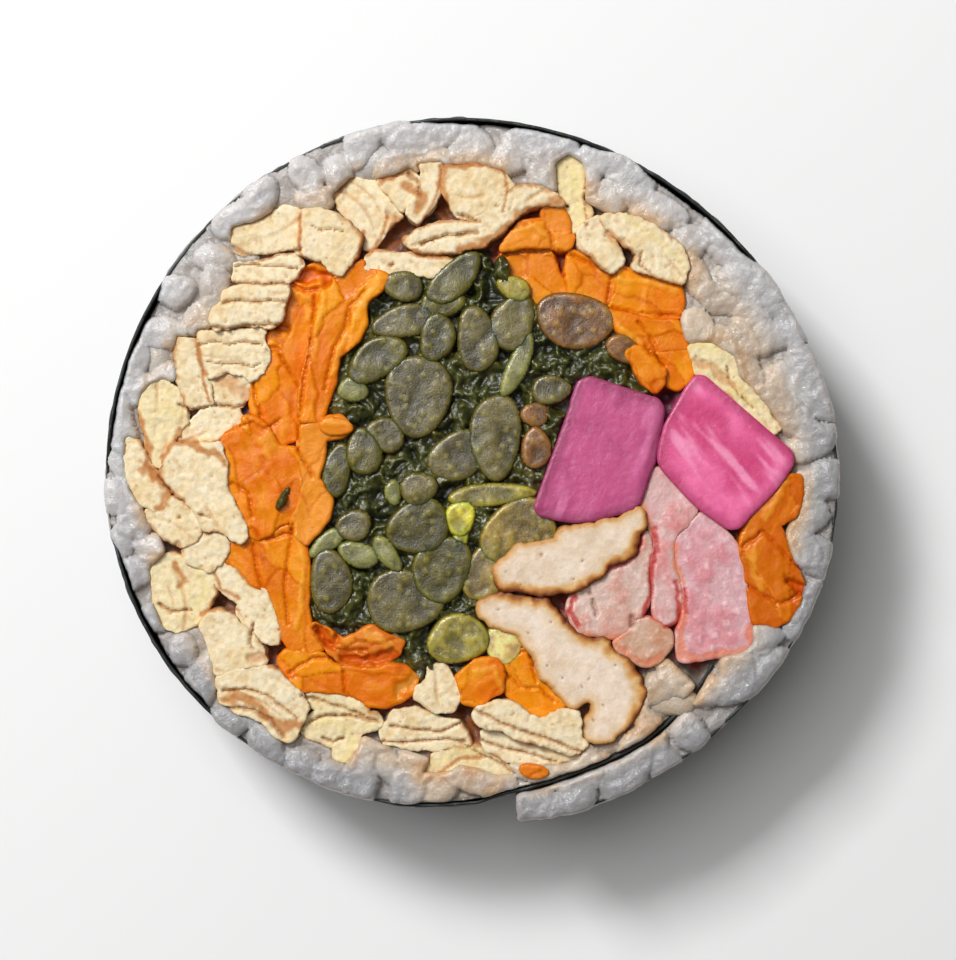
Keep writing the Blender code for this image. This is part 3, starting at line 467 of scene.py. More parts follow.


# ---------------------------------------------------------------- recipes for the cut faces

# Cracks, browned skins, folds and yolky streaks of the egg, the cracks and folds painted darker as shade:
# (kind, half width, path)
EGG_MARKS = (
    ("crack", 0.16, ((-19.5, 18.1), (-18.3, 17.5), (-17.2, 17.1), (-16.1, 17.3), (-15.0, 17.6),
        (-13.9, 17.9))),
    ("skin", 0.12, ((-13.9, 20.8), (-13.9, 19.5), (-13.9, 18.1))),
    ("crack", 0.09, ((-19.3, 16.5), (-17.8, 16.7), (-16.6, 16.5), (-15.3, 16.5), (-14.1, 16.3))),
    ("crack", 0.12, ((-19.8, 15.0), (-18.4, 15.2), (-16.9, 15.0), (-15.6, 15.2), (-14.4, 14.8))),
    ("crack", 0.12, ((-20.3, 13.5), (-18.7, 13.7), (-17.2, 13.6), (-15.6, 13.7), (-14.5, 13.2))),
    ("crack", 0.12, ((-21.3, 11.5), (-19.7, 11.4), (-17.8, 11.7), (-15.5, 11.7))),
    ("skin", 0.14, ((-22.6, 11.7), (-22.4, 10.2), (-22.1, 8.6), (-21.6, 7.6))),
    ("crack", 0.07, ((-22.1, 10.1), (-20.9, 10.4), (-19.7, 10.1), (-18.6, 10.4), (-16.9, 10.1))),
    ("crack", 0.07, ((-21.5, 8.7), (-20.3, 8.5), (-19.0, 8.6), (-17.8, 8.3), (-17.1, 8.6))),
    ("skin", 0.12, ((-22.2, 10.2), (-21.9, 7.7), (-21.3, 5.4))),
    ("fold", 0.6, ((-20.1, 7.2), (-18.9, 6.6), (-18.1, 5.7))),
    ("crack", 0.14, ((-20.9, 5.2), (-19.3, 5.0), (-17.9, 5.4))),
    ("skin", 0.3, ((-27.3, 4.6), (-26.8, 3.1), (-26.2, 1.5), (-26.3, 0.3), (-25.9, -0.8))),
    ("skin", 0.2, ((-23.7, 3.1), (-24.3, 2.0), (-25.2, 0.8))),
    ("skin", 0.28, ((-23.8, 2.0), (-22.8, 2.1), (-22.0, 1.5), (-20.9, 1.3), (-20.0, 0.4))),
    ("crack", 0.1, ((-23.9, 5.2), (-22.8, 4.8), (-21.5, 5.0))),
    ("skin", 0.14, ((-13.9, 20.7), (-14.0, 18.6), (-13.7, 16.8))),
    ("skin", 0.14, ((-8.7, 19.3), (-9.1, 17.6), (-10.0, 15.8))),
    ("crack", 0.06, ((-12.9, 19.8), (-12.1, 19.4), (-11.3, 19.6), (-10.3, 19.3))),
    ("skin", 0.16, ((-11.7, 21.3), (-10.7, 22.8), (-9.7, 23.7))),
    ("skin", 0.16, ((-9.9, 24.1), (-8.5, 24.2), (-7.1, 23.7))),
    ("fold", 0.35, ((-6.6, 20.7), (-5.7, 19.8), (-5.5, 18.3))),
    ("skin", 0.12, ((-6.7, 20.6), (-7.2, 19.2), (-8.0, 17.7))),
    ("skin", 0.25, ((-7.3, 23.4), (-6.2, 23.8), (-5.4, 24.3), (-4.3, 24.5))),
    ("skin", 0.32, ((-5.4, 23.2), (-4.5, 22.8), (-3.8, 22.1), (-4.2, 21.1))),
    ("crack", 0.16, ((-5.0, 24.1), (-4.3, 23.4), (-4.0, 22.3))),
    ("skin", 0.1, ((-2.5, 24.8), (-2.4, 23.5), (-2.9, 21.9), (-3.8, 20.3))),
    ("skin", 0.32, ((-2.2, 24.5), (-2.3, 22.9), (-2.0, 21.2))),
    ("skin", 0.22, ((-2.1, 24.7), (-0.4, 25.0), (0.9, 24.8))),
    ("crack", 0.14, ((-4.0, 18.3), (-2.9, 18.8), (-1.7, 19.0), (-0.4, 19.1), (0.6, 19.2))),
    ("skin", 0.12, ((-5.5, 18.6), (-4.5, 19.5), (-2.9, 20.1), (-1.0, 20.2), (0.8, 20.1))),
    ("skin", 0.2, ((-4.5, 17.6), (-2.9, 17.4), (-1.0, 17.5), (0.8, 18.0))),
    ("skin", 0.22, ((-8.7, 17.5), (-7.6, 18.0), (-5.7, 17.9), (-3.8, 17.5), (-1.4, 17.3))),
    ("crack", 0.14, ((-6.4, 16.6), (-6.3, 16.6))),
    ("skin", 0.3, ((-0.8, 24.7), (1.0, 25.1), (2.7, 24.6))),
    ("skin", 0.12, ((2.7, 24.5), (3.1, 22.9), (2.7, 21.0))),
    ("crack", 0.1, ((-1.1, 20.8), (-0.2, 20.5), (0.5, 20.2))),
    ("skin", 0.36, ((-0.8, 17.8), (1.0, 18.3), (2.6, 19.2), (4.1, 20.6), (5.9, 21.4), (7.5, 21.9))),
    ("fold", 0.4, ((6.6, 24.8), (6.4, 23.7), (6.3, 22.6))),
    ("yellow", 0.35, ((8.5, 24.6), (8.7, 23.7), (8.6, 22.6))),
    ("skin", 0.1, ((9.5, 23.8), (9.3, 22.0), (9.6, 20.4))),
    ("crack", 0.12, ((9.5, 20.0), (9.7, 19.9))),
    ("fold", 0.3, ((11.3, 19.2), (12.4, 18.4), (13.3, 17.2))),
    ("yellow", 0.22, ((12.4, 21.4), (13.1, 20.1), (14.4, 19.3), (15.6, 18.3), (16.9, 17.3),
        (17.5, 16.4))),
    ("fold", 0.3, ((12.8, 21.9), (14.7, 20.7), (16.6, 19.1))),
    ("crack", 0.1, ((14.1, 17.7), (13.8, 16.6), (14.7, 16.0))),
    ("yellow", 0.2, ((17.9, 9.8), (19.3, 9.9), (21.1, 9.8))),
    ("fold", 0.35, ((18.5, 8.6), (19.8, 8.3), (21.0, 7.0))),
    ("yellow", 0.25, ((21.5, 6.4), (23.4, 5.2))),
    ("crack", 0.08, ((21.1, 8.3), (21.3, 6.9), (23.1, 4.9))),
    ("crack", 0.12, ((0.1, -19.6), (1.7, -20.4), (3.2, -21.1), (5.4, -21.8), (7.3, -22.5),
        (9.5, -23.4))),
    ("crack", 0.1, ((0.4, -22.1), (2.9, -23.0), (4.8, -23.4), (7.0, -24.1))),
    ("crack", 0.1, ((-0.8, -22.5), (0.7, -23.4), (2.6, -24.2), (3.9, -25.2))),
    ("skin", 0.25, ((9.3, -23.4), (10.7, -23.1), (11.4, -23.9))),
    ("skin", 0.14, ((-0.2, -20.7), (0.1, -22.3), (0.4, -22.9))),
    ("skin", 0.36, ((-26.7, 0.0), (-25.5, -0.7), (-24.7, -1.9), (-25.3, -3.2))),
    ("crack", 0.12, ((-25.5, -0.6), (-24.9, -1.4), (-24.2, -2.1))),
    ("crack", 0.07, ((-23.8, -3.9), (-23.7, -4.1))),
    ("crack", 0.09, ((-22.1, -3.8), (-21.2, -4.0))),
    ("fold", 0.5, ((-26.2, -5.2), (-25.2, -6.2), (-23.8, -6.7))),
    ("skin", 0.25, ((-26.5, -4.9), (-25.5, -6.0), (-24.3, -6.4))),
    ("skin", 0.22, ((-24.2, -7.8), (-23.5, -9.0), (-23.8, -9.8))),
    ("crack", 0.12, ((-25.5, -11.1), (-24.5, -11.8), (-22.8, -11.6))),
    ("yellow", 0.35, ((-22.1, -8.7), (-21.5, -9.9), (-22.4, -11.3))),
    ("skin", 0.15, ((-20.9, -8.7), (-20.3, -9.9), (-19.0, -10.6))),
    ("skin", 0.15, ((-22.1, -12.0), (-20.6, -11.4), (-19.0, -11.6))),
    ("fold", 0.3, ((-18.0, -15.5), (-16.9, -15.5), (-16.2, -15.8))),
    ("crack", 0.1, ((-17.8, -12.7), (-18.0, -14.3), (-17.7, -14.9))),
    ("crack", 0.1, ((-20.2, -18.2), (-18.4, -18.0), (-16.6, -18.6), (-15.0, -19.8), (-14.1, -20.5))),
    ("skin", 0.36, ((-20.2, -18.9), (-18.7, -18.8), (-17.5, -19.3), (-16.4, -20.5), (-15.0, -21.2),
        (-14.0, -20.9))),
    ("crack", 0.14, ((-19.8, -19.6), (-17.8, -19.7), (-16.2, -20.7), (-15.2, -22.1))),
    ("crack", 0.12, ((-13.8, -18.6), (-11.6, -19.3), (-8.7, -20.2))),
    ("crack", 0.12, ((-13.3, -20.8), (-11.6, -20.3), (-9.7, -20.3), (-7.5, -20.8))),
    ("yellow", 0.4, ((-12.8, -21.1), (-11.6, -20.8), (-10.0, -21.4), (-9.6, -22.6), (-10.3, -23.9))),
    ("crack", 0.13, ((-12.0, -22.1), (-11.2, -22.5), (-10.3, -22.1))),
    ("crack", 0.1, ((-6.6, -21.1), (-4.8, -21.4), (-2.3, -21.6), (-0.4, -20.7))),
    ("crack", 0.1, ((-7.3, -22.4), (-5.4, -22.5), (-2.3, -22.2), (-0.4, -22.4))),
    ("skin", 0.16, ((-2.4, -25.0), (-0.9, -23.8), (0.9, -23.7))),
    ("yellow", 0.3, ((-2.6, -24.2), (-1.4, -23.3), (0.9, -23.1))),
)
# Clefts between shreds and deep places of the carrot, painted darker as shade, and its wet edges painted
# paler as light shining through them
CARROT_MARKS = (
    ("cleft", 0.16, ((-14.5, 15.1), (-13.5, 14.6), (-11.9, 14.8), (-11.0, 15.5))),
    ("deep", 0.5, ((-13.8, 15.9), (-12.8, 15.8), (-11.9, 15.7))),
    ("cleft", 0.12, ((-12.8, 14.1), (-12.8, 12.7), (-13.1, 10.2), (-13.6, 7.1), (-13.9, 4.2))),
    ("cleft", 0.3, ((-16.9, 11.7), (-15.6, 11.5), (-14.9, 11.4))),
    ("cleft", 0.2, ((-16.6, 9.8), (-15.6, 9.7))),
    ("cleft", 0.12, ((-15.6, 9.3), (-15.0, 8.3), (-14.1, 6.7))),
    ("cleft", 0.1, ((-17.8, 7.1), (-17.5, 5.2), (-17.1, 4.2))),
    ("cleft", 0.09, ((-8.6, 14.5), (-9.9, 13.1), (-10.3, 11.4), (-11.2, 9.6), (-11.9, 6.4))),
    ("pale", 0.25, ((-7.4, 15.5), (-8.5, 13.9), (-9.6, 11.7), (-10.6, 9.9), (-11.2, 7.7))),
    ("pale", 0.2, ((-12.4, 15.5), (-11.9, 13.9), (-12.5, 11.4), (-12.8, 8.9))),
    ("pale", 0.3, ((-14.5, 14.4), (-13.3, 13.9), (-13.2, 12.2))),
    ("cleft", 0.1, ((-20.0, 3.1), (-17.8, 3.7), (-16.9, 3.1), (-15.6, 4.0))),
    ("pale", 0.35, ((-17.2, 2.1), (-16.2, 2.7), (-16.6, 1.2))),
    ("pale", 0.3, ((-11.9, 3.8), (-11.0, 3.7), (-10.0, 3.7))),
    ("cleft", 0.1, ((-14.1, 3.4), (-14.0, 1.2), (-12.8, -0.7))),
    ("cleft", 0.12, ((-17.9, -4.9), (-16.9, -5.9), (-14.7, -5.3), (-14.5, -4.6))),
    ("cleft", 0.12, ((-17.8, -6.2), (-17.4, -8.7), (-16.8, -10.3))),
    ("cleft", 0.1, ((-14.5, -4.9), (-14.9, -7.1), (-15.2, -9.6), (-14.9, -12.7))),
    ("pale", 0.2, ((-14.2, -5.6), (-13.6, -8.0), (-13.8, -11.1), (-14.2, -13.0))),
    ("cleft", 0.1, ((-19.5, -1.2), (-18.1, -2.1), (-17.8, -4.0))),
    ("cleft", 0.2, ((-12.8, -13.0), (-11.9, -14.5), (-10.3, -15.0), (-8.5, -14.9))),
    ("deep", 0.45, ((-12.2, -13.3), (-11.3, -14.2))),
    ("deep", 0.4, ((-10.3, -15.6), (-8.5, -15.8), (-6.3, -15.3))),
    ("cleft", 0.12, ((-14.7, -16.7), (-12.8, -15.5), (-11.6, -15.6))),
    ("cleft", 0.12, ((-10.3, -16.7), (-10.3, -18.3), (-8.8, -19.5))),
    ("pale", 0.3, ((-8.5, -13.6), (-7.2, -14.1), (-6.5, -14.7))),
    ("fold", 0.4, ((-6.0, -18.3), (-4.8, -17.3), (-4.5, -16.7))),
    ("cleft", 0.1, ((2.4, 17.5), (4.5, 17.8), (6.6, 17.8))),
    ("cleft", 0.12, ((6.6, 19.2), (6.9, 17.6), (7.7, 15.8))),
    ("pale", 0.25, ((4.0, 19.5), (5.4, 19.8), (6.3, 19.0))),
    ("cleft", 0.12, ((7.3, 17.8), (9.4, 17.0), (11.6, 16.1))),
    ("cleft", 0.1, ((11.6, 16.1), (11.4, 14.5), (11.1, 12.7))),
    ("cleft", 0.1, ((11.6, 13.1), (13.8, 12.7), (17.2, 12.5))),
    ("cleft", 0.1, ((13.8, 12.0), (14.7, 10.8), (15.3, 9.6))),
    ("cleft", 0.14, ((14.4, 9.9), (15.3, 8.9), (15.8, 8.3))),
    ("pale", 0.2, ((11.9, 15.5), (14.7, 15.2), (16.9, 14.5))),
    ("pale", 0.2, ((12.2, 11.7), (14.1, 10.2))),
    ("cleft", 0.1, ((2.6, -15.5), (4.8, -14.9), (5.4, -17.6))),
    ("cleft", 0.1, ((2.9, -16.7), (4.1, -18.0), (5.7, -18.0), (6.9, -19.2))),
    ("pale", 0.22, ((0.4, -16.7), (2.0, -16.3), (2.6, -18.0))),
    ("cleft", 0.14, ((22.3, -6.5), (24.0, -5.2), (25.5, -6.8), (27.1, -8.3))),
    ("cleft", 0.14, ((22.8, -9.6), (24.0, -10.5), (25.5, -11.1), (27.1, -10.2))),
    ("deep", 0.4, ((26.2, -9.3), (27.1, -9.9), (27.7, -10.2))),
    ("pale", 0.3, ((23.1, -6.8), (23.2, -8.7), (24.0, -9.9))),
    ("pale", 0.3, ((25.5, -1.2), (25.2, -2.4), (24.0, -4.0))),
)
# The crab sticks' red coat, the orange that ran from it, and pits painted darker as shade
CRAB_MARKS = (
    ("red", 0.22, ((15.1, -5.1), (15.2, -6.9), (14.8, -8.6), (14.8, -10.4), (14.3, -11.9))),
    ("red", 0.20, ((16.9, -9.4), (17.1, -11.2), (16.9, -12.6), (16.0, -13.0))),
    ("red", 0.22, ((8.6, -10.2), (8.2, -11.6), (8.8, -13.0))),
    ("red", 0.18, ((14.0, -5.6), (13.8, -6.8), (12.8, -7.7), (11.2, -8.4))),
    ("red", 0.16, ((17.6, -9.8), (17.7, -11.8))),
    ("orange", 0.35, ((17.5, -11.0), (17.3, -13.6), (17.3, -15.5), (19.0, -15.5), (22.4, -14.9))),
    ("orange", 0.30, ((14.4, -0.4), (13.9, -2.2), (14.3, -3.8), (14.9, -4.9))),
    ("orange", 0.22, ((16.9, -6.2), (16.8, -7.8), (17.5, -9.4))),
    ("orange", 0.25, ((11.8, -14.2), (13.2, -15.4), (14.4, -16.1), (15.8, -15.4))),
    ("orange", 0.25, ((9.4, -13.6), (10.8, -13.9), (12.4, -13.8))),
    ("orange", 0.30, ((22.9, -12.8), (23.0, -14.4))),
    ("pit", 0.18, ((10.1, -10.9), (10.3, -12.0))),
    ("pit", 0.15, ((9.8, -10.1), (9.9, -10.3))),
    ("pit", 0.22, ((13.2, -12.2), (13.3, -12.9))),
)


def egg_recipe(skin_side, yellow, layers):
    """Folded omelette: crumbly and cream inside, layered lengthwise, its outside browned."""
    def recipe(cut):
        p, edge = cut.p, cut.edge
        crumb = rough(p, 0.4, cut.seed, 3)
        broad = rough(p, 1.7, cut.seed + 5, 2)
        near, _, number = cells(p, 0.6, cut.seed + 9)
        pore = ramp(near, 0.15, 0.04) * (number > 0.88)
        pitch = 2 * cut.half_width / layers
        sheet = cut.across / pitch + 0.3 * rough(cut.grain * (0.3, 1.0), 1.8, cut.seed + 3, 2)
        sheet = sheet + (0.5 if layers % 2 else 0.0)
        split = np.round(sheet)
        there = np.column_stack([cut.along / 2.6, split * 5.3])
        gap = np.abs(sheet - split) * pitch
        crease = ramp(gap, 0.2, 0.02) * ramp(lumps(there, 1.0, cut.seed + 8), 0.1, 0.7)
        crease = crease * ramp(edge, 0.05, 0.3) * (layers > 1)
        layer = hashed(np.floor(sheet), np.zeros(cut.count), cut.seed + 4) - 0.5
        bubble, _, size = cells(p, 0.42, cut.seed + 12)
        relief = 0.05 * crumb + 0.05 * broad - 0.15 * pore - 0.16 * crease + 0.08 * layer
        relief = relief - 0.06 * ramp(bubble, 0.2, 0.05) * size + rim_drop(edge, 0.04)
        side = cut.across / cut.half_width * skin_side
        skin = ramp(edge + 0.1 * crumb, 0.3, 0.1) * ramp(side, 0.2, 0.7) * ramp(broad, -0.1, 0.5) * 0.7
        cream = blend((242, 232, 194), (236, 218, 168), ramp(broad, -0.2, 1.0))
        cream = blend(cream, (234, 222, 148), yellow * ramp(crumb, -0.8, 0.5))
        cream = blend(cream, (246, 239, 212), ramp(crumb, 0.1, 1.1) * 0.65)
        cream = blend(cream, (220, 192, 142), ramp(crumb, -0.2, -1.1) * 0.6)
        tan = ramp(edge + 0.15 * broad, 0.3, 0.0) * ramp(rough(p, 2.2, cut.seed + 14, 1), -0.4, 0.5)
        cream = blend(cream, (216, 176, 114), tan * 0.35)
        # Painted shade: the sunken pores and the creases between layers are painted darker.
        cream = blend(cream, (184, 140, 88), 0.6 * pore)
        cream = blend(cream, (206, 158, 98), 0.5 * crease)
        brown = blend((184, 118, 56), (146, 82, 30), ramp(crumb, -0.5, 0.7))
        relief, colour = marked(cut, relief, blend(cream, brown, skin), EGG_MARKS)
        return relief, colour, 0.3 + 0.3 * skin
    return recipe


def carrot_recipe(tone, shred=2.7):
    """Fried carrot: a stack of soft wet shreds, each at its own level, with painted shade in the clefts and
    on the lower shreds and painted light on the upper shreds' edges.
    """
    def recipe(cut):
        p, edge = cut.p, cut.edge
        fibre = rough(cut.grain * (0.2, 1.0), 0.42, cut.seed, 3)
        broad = rough(p, 2.2, cut.seed + 5, 2)
        fine = rough(p, 0.45, cut.seed + 6, 3)
        bend = 0.22 * np.column_stack([lumps(p, 0.9, cut.seed), lumps(p, 0.9, cut.seed + 1)])
        near, second, number = cells(cut.grain * (0.42, 1.0) + bend, shred, cut.seed + 2)
        seam = ramp(second - near, 0.22, 0.0)
        facet = 0.09 * np.abs(rough(p, 2.2, cut.seed + 7, 2))
        relief = (0.015 * fibre + 0.05 * broad + 0.015 * fine - facet - 0.2 * number ** 2 - 0.02 * seam
                  + rim_drop(edge, 0.07))
        colour = blend((250, 156, 8), (242, 128, 2), ramp(broad + number - 0.5, -0.6, 0.9))
        colour = blend(colour, (252, 184, 78), ramp(fibre, 0.0, 1.0) * 0.45)
        # Painted shade: the lower shreds are painted darker and redder.
        colour = blend(colour, (214, 94, 2), 0.35 * number ** 2)
        if tone is not None:
            colour = blend(colour, tone, 0.6)
        # Painted light: the edges of the upper shreds are painted paler, as if lit through.
        colour = blend(colour, (250, 166, 74), ramp(second - near, 0.5, 0.15) * (number < 0.4) * 0.3)
        # Painted shade: the seams between shreds are painted darker.
        colour = blend(colour, (194, 76, 2), 0.4 * seam * (number > 0.3))
        colour = blend(colour, (226, 112, 24), ramp(edge, 0.3, 0.0) * 0.4)
        relief, colour = marked(cut, relief, colour, CARROT_MARKS)
        return relief, colour, 0.75 + 0.15 * fine
    return recipe


def radish_recipe(core, flesh, streak, turn):
    """Pickled radish: firm, smooth and wet, with faint streaks of deeper dye."""
    def recipe(cut):
        p, edge = cut.p, cut.edge
        lean = math.radians(turn)
        q = np.column_stack([p @ (math.cos(lean), math.sin(lean)), p @ (-math.sin(lean), math.cos(lean))])
        vein = rough(q * (0.16, 1.0), 0.8, cut.seed, 3)
        cloud = rough(p, 3.2, cut.seed + 4, 3)
        fine = rough(p, 0.3, cut.seed + 7, 2)
        relief = 0.01 * fine + 0.015 * vein + 0.04 * cloud + rim_drop(edge, 0.1)
        colour = blend(core, flesh, ramp(cloud, -0.6, 0.7))
        colour = blend(colour, streak, ramp(vein, 0.15, 1.0) * 0.75)
        colour = blend(colour, np.array(core) * 0.82, ramp(edge, 1.1, 0.1) * 0.65)
        return relief, colour, np.full(cut.count, 0.85)
    return recipe


def fish_cake_recipe(skin_side):
    """Fried fish cake: springy pale flesh, its skin browned and puckered."""
    def recipe(cut):
        p, edge = cut.p, cut.edge
        fine = rough(p, 0.5, cut.seed, 3)
        broad = rough(p, 1.6, cut.seed + 5, 2)
        near, _, number = cells(p, 0.9, cut.seed + 9)
        pore = ramp(near, 0.16, 0.04) * (number > 0.86)
        relief = 0.02 * fine + 0.05 * broad - 0.15 * pore + rim_drop(edge, 0.1)
        side = cut.across / cut.half_width * skin_side
        browned = ramp(side, -0.2, 0.4)
        reach = 0.36 + 0.5 * browned * ramp(rough(p, 0.9, cut.seed + 3, 2), -0.9, 0.6)
        skin = ramp(edge / reach, 1.3, 0.4)
        halo = ramp(edge + 0.3 * broad, 1.2, 0.3)
        flesh = blend((240, 226, 208), (230, 212, 186), ramp(broad, -0.3, 1.0))
        flesh = blend(flesh, (246, 238, 228), ramp(fine, 0.1, 1.0) * 0.5)
        flesh = blend(flesh, (216, 168, 92), halo * (0.25 + 0.4 * browned))
        # Painted shade: the sunken pores are painted darker.
        flesh = blend(flesh, (150, 110, 80), pore * 0.7)
        crust = blend((206, 142, 56), (128, 64, 10), (0.35 + 0.65 * browned) * ramp(edge / reach, 0.7, 0.1))
        colour = blend(flesh, crust, skin * (0.7 + 0.3 * browned))
        return relief, colour, 0.45 + 0.2 * skin
    return recipe


def crab_recipe(flesh, blush, red_side):
    """Crab stick: pale pink and fibrous, with its red coat along one side."""
    def recipe(cut):
        p, edge = cut.p, cut.edge
        fibre = rough(cut.grain * (0.35, 1.0), 0.55, cut.seed, 3)
        broad = rough(p, 1.7, cut.seed + 5, 2)
        fine = rough(p, 0.35, cut.seed + 6, 3)
        relief = 0.03 * fibre + 0.08 * broad + 0.02 * fine + rim_drop(edge, 0.12)
        colour = blend(flesh, blush, ramp(broad + 0.5 * fibre, -0.6, 0.9))
        colour = blend(colour, (238, 220, 218), ramp(fine + 0.4 * fibre, 0.3, 1.3) * 0.6)
        side = cut.across / cut.half_width * red_side
        coat = ramp(edge + 0.12 * broad, 0.3, 0.08) * ramp(side, 0.3, 0.7) * ramp(broad, -0.2, 0.4)
        colour = blend(colour, (224, 166, 140), ramp(edge + 0.1 * broad, 0.35, 0.0) * 0.4)
        colour = blend(colour, (196, 64, 56), coat * 0.6)
        relief, colour = marked(cut, relief, colour, CRAB_MARKS)
        return relief, colour, 0.6 + 0.2 * fine
    return recipe


# ---------------------------------------------------------------- materials

# How far red, green and blue light scatter in food, and how rough its film of oil is
SCATTER_RADIUS = (1.0, 0.7, 0.5)
COAT_ROUGHNESS = 0.12


def filled(nodes, kind, values):
    """A new shader node with its sockets' values set."""
    added = nodes.new("ShaderNode" + kind)
    for socket, value in values.items():
        added.inputs[socket].default_value = value
    return added


def food_material(name, dry, moist, depth, scatter, grain, bump, speckle=0.12, coat=0.0, specular=0.5):
    """A moist food. Its colour is the mesh's tint under fine mottling, and wetness is the alpha.

    dry and moist are the roughness at no and full wetness, depth the reach of scattered light in
    mm, scatter its weight, grain the size of the finest mottling and bumps in mm.
    """
    made = bpy.data.materials.new(name)
    made.use_nodes = True
    nodes, links = made.node_tree.nodes, made.node_tree.links
    shader = nodes["Principled BSDF"]
    tint = nodes.new("ShaderNodeVertexColor")
    tint.layer_name = "tint"
    where = nodes.new("ShaderNodeTexCoord")
    mottle = filled(nodes, "TexNoise", {"Scale": 1 / (grain * 2.2 * MM), "Detail": 5.0, "Roughness": 0.6})
    spread = filled(nodes, "MapRange", {
        "From Min": 0.3, "From Max": 0.7, "To Min": 1 - speckle, "To Max": 1 + speckle,
    })
    shaded = nodes.new("ShaderNodeVectorMath")
    shaded.operation = "SCALE"
    gloss = filled(nodes, "MapRange", {"To Min": dry, "To Max": moist})
    uneven = filled(nodes, "Math", {1: 0.25})
    uneven.operation = "MULTIPLY_ADD"
    pebbles = filled(nodes, "TexNoise", {"Scale": 1 / (grain * MM), "Detail": 4.0})
    surface = filled(nodes, "Bump", {"Strength": bump, "Distance": grain * 0.35 * MM})
    for source, output, target, socket in (
        (where, "Object", mottle, "Vector"), (mottle, "Fac", spread, "Value"),
        (tint, "Color", shaded, 0), (spread, "Result", shaded, "Scale"),
        (shaded, "Vector", shader, "Base Color"),
        (tint, "Alpha", gloss, "Value"), (mottle, "Fac", uneven, 0), (gloss, "Result", uneven, 2),
        (uneven, "Value", shader, "Roughness"),
        (where, "Object", pebbles, "Vector"), (pebbles, "Fac", surface, "Height"),
        (surface, "Normal", shader, "Normal"), (surface, "Normal", shader, "Coat Normal"),
    ):
        links.new(source.outputs[output], target.inputs[socket])
    for socket, value in (
        ("Specular IOR Level", specular), ("Subsurface Weight", scatter),
        ("Subsurface Radius", SCATTER_RADIUS), ("Subsurface Scale", depth * MM),
        ("Coat Weight", coat), ("Coat Roughness", COAT_ROUGHNESS),
    ):
        shader.inputs[socket].default_value = value
    return made


CARROT_GLEAM = (1.0, 0.75, 0.4, 1)
RICE = food_material("rice_look", 0.5, 0.26, 1.3, 0.75, 0.2, 1.0, 0.05, 0.4)
EGG = food_material("egg_look", 0.75, 0.42, 0.5, 0.25, 0.2, 0.8, 0.1)
CARROT = food_material("carrot_look", 0.42, 0.24, 0.7, 0.3, 0.24, 0.4, 0.08, 0.12, 0.4)
CARROT.node_tree.nodes["Principled BSDF"].inputs["Specular Tint"].default_value = CARROT_GLEAM
RADISH = food_material("radish_look", 0.4, 0.26, 1.0, 0.5, 0.22, 0.35, 0.08, 0.25)
FISH = food_material("fish_cake_look", 0.6, 0.32, 0.8, 0.4, 0.22, 0.6, 0.08, 0.05)
CRAB = food_material("crab_look", 0.5, 0.28, 0.8, 0.4, 0.24, 0.6, 0.1, 0.2)
LEAF = food_material("leaf_look", 0.45, 0.2, 0.4, 0.1, 0.2, 0.9, 0.3, 0.3, 0.5)
STEM = food_material("stem_look", 0.3, 0.14, 1.8, 0.85, 0.14, 0.7, 0.16, 0.4, 0.5)
NORI = food_material("gim_look", 0.6, 0.28, 0.2, 0.0, 0.25, 0.9, 0.4, 0.1)
BED = food_material("bed_look", 0.6, 0.3, 0.5, 0.1, 0.3, 0.7, 0.25, 0.1)


def finish_piece(piece, slot, *nodes):
    """Fixes a piece to the slice and hides the CAD nodes it stands for; slot is not used."""
    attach(piece, "root")
    if nodes:
        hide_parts(*nodes)


# ---------------------------------------------------------------- fillings

# How yellow some of the egg is, and what some of the carrot's colour leans to
YELLOW_EGG = {"egg_strip_09": 0.8, "egg_strip_12": 0.5, "egg_strip_17": 0.5, "egg_strip_27": 0.4,
              "egg_strip_23": 0.4, "egg_strip_29": 0.3}
CARROT_TONES = {"carrot_strip_04": (240, 156, 96), "carrot_strip_07": (222, 130, 84),
                "carrot_strip_11": (240, 150, 78), "carrot_strip_10": (240, 150, 52),
                "carrot_strip_17": (206, 92, 8)}


LAYER_PITCH = 1.6
# For each kind, what outlines() does with a packed outline: grow, corner, ragged, its size, pucker
SHAPES = {
    "egg": (0.1, 0.0, 0.1, 0.5), "carrot": (0.12, 0.13, 0.06, 0.8), "radish": (0.05, 0.25),
    "fish_cake": (0.12, 0.13, 0.14, 0.9, 0.18), "crab_stick": (0.12, 0.3, 0.08, 1.0),
    "greens": (0.1, 0.3, 0.15, 0.9),
}
WALLS, SMOOTH_WALLS = (0.08, 0.15), (0.0, 0.02)
# Radish: its core's, its flesh's and its streaks' colour, and the streaks' direction
RADISH_LOOKS = {
    "radish_baton_01": ((164, 56, 108), (192, 80, 134), (214, 120, 168), 70),
    "radish_baton_02": ((204, 66, 124), (228, 108, 162), (240, 164, 198), -50),
}
# Crab stick: its flesh's colour, its blush, and the side with the red coat
CRAB_LOOKS = {
    "crab_stick_01": ((214, 176, 174), (214, 140, 138), -1),
    "crab_stick_02": ((212, 186, 174), (206, 150, 134), 1),
    "crab_stick_03": ((204, 170, 146), (196, 138, 104), 1),
    "crab_stick_04": ((216, 172, 178), (212, 142, 150), -1),
}


def make_filling(node, slot, recipe, material, side=WALLS):
    data = slab(outlines(node, *SHAPES[slot]), recipe, seed_of(node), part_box(node)[1].z / MM, side=side)
    finish_piece(make_piece(node + "_look", *data, material), slot, node)


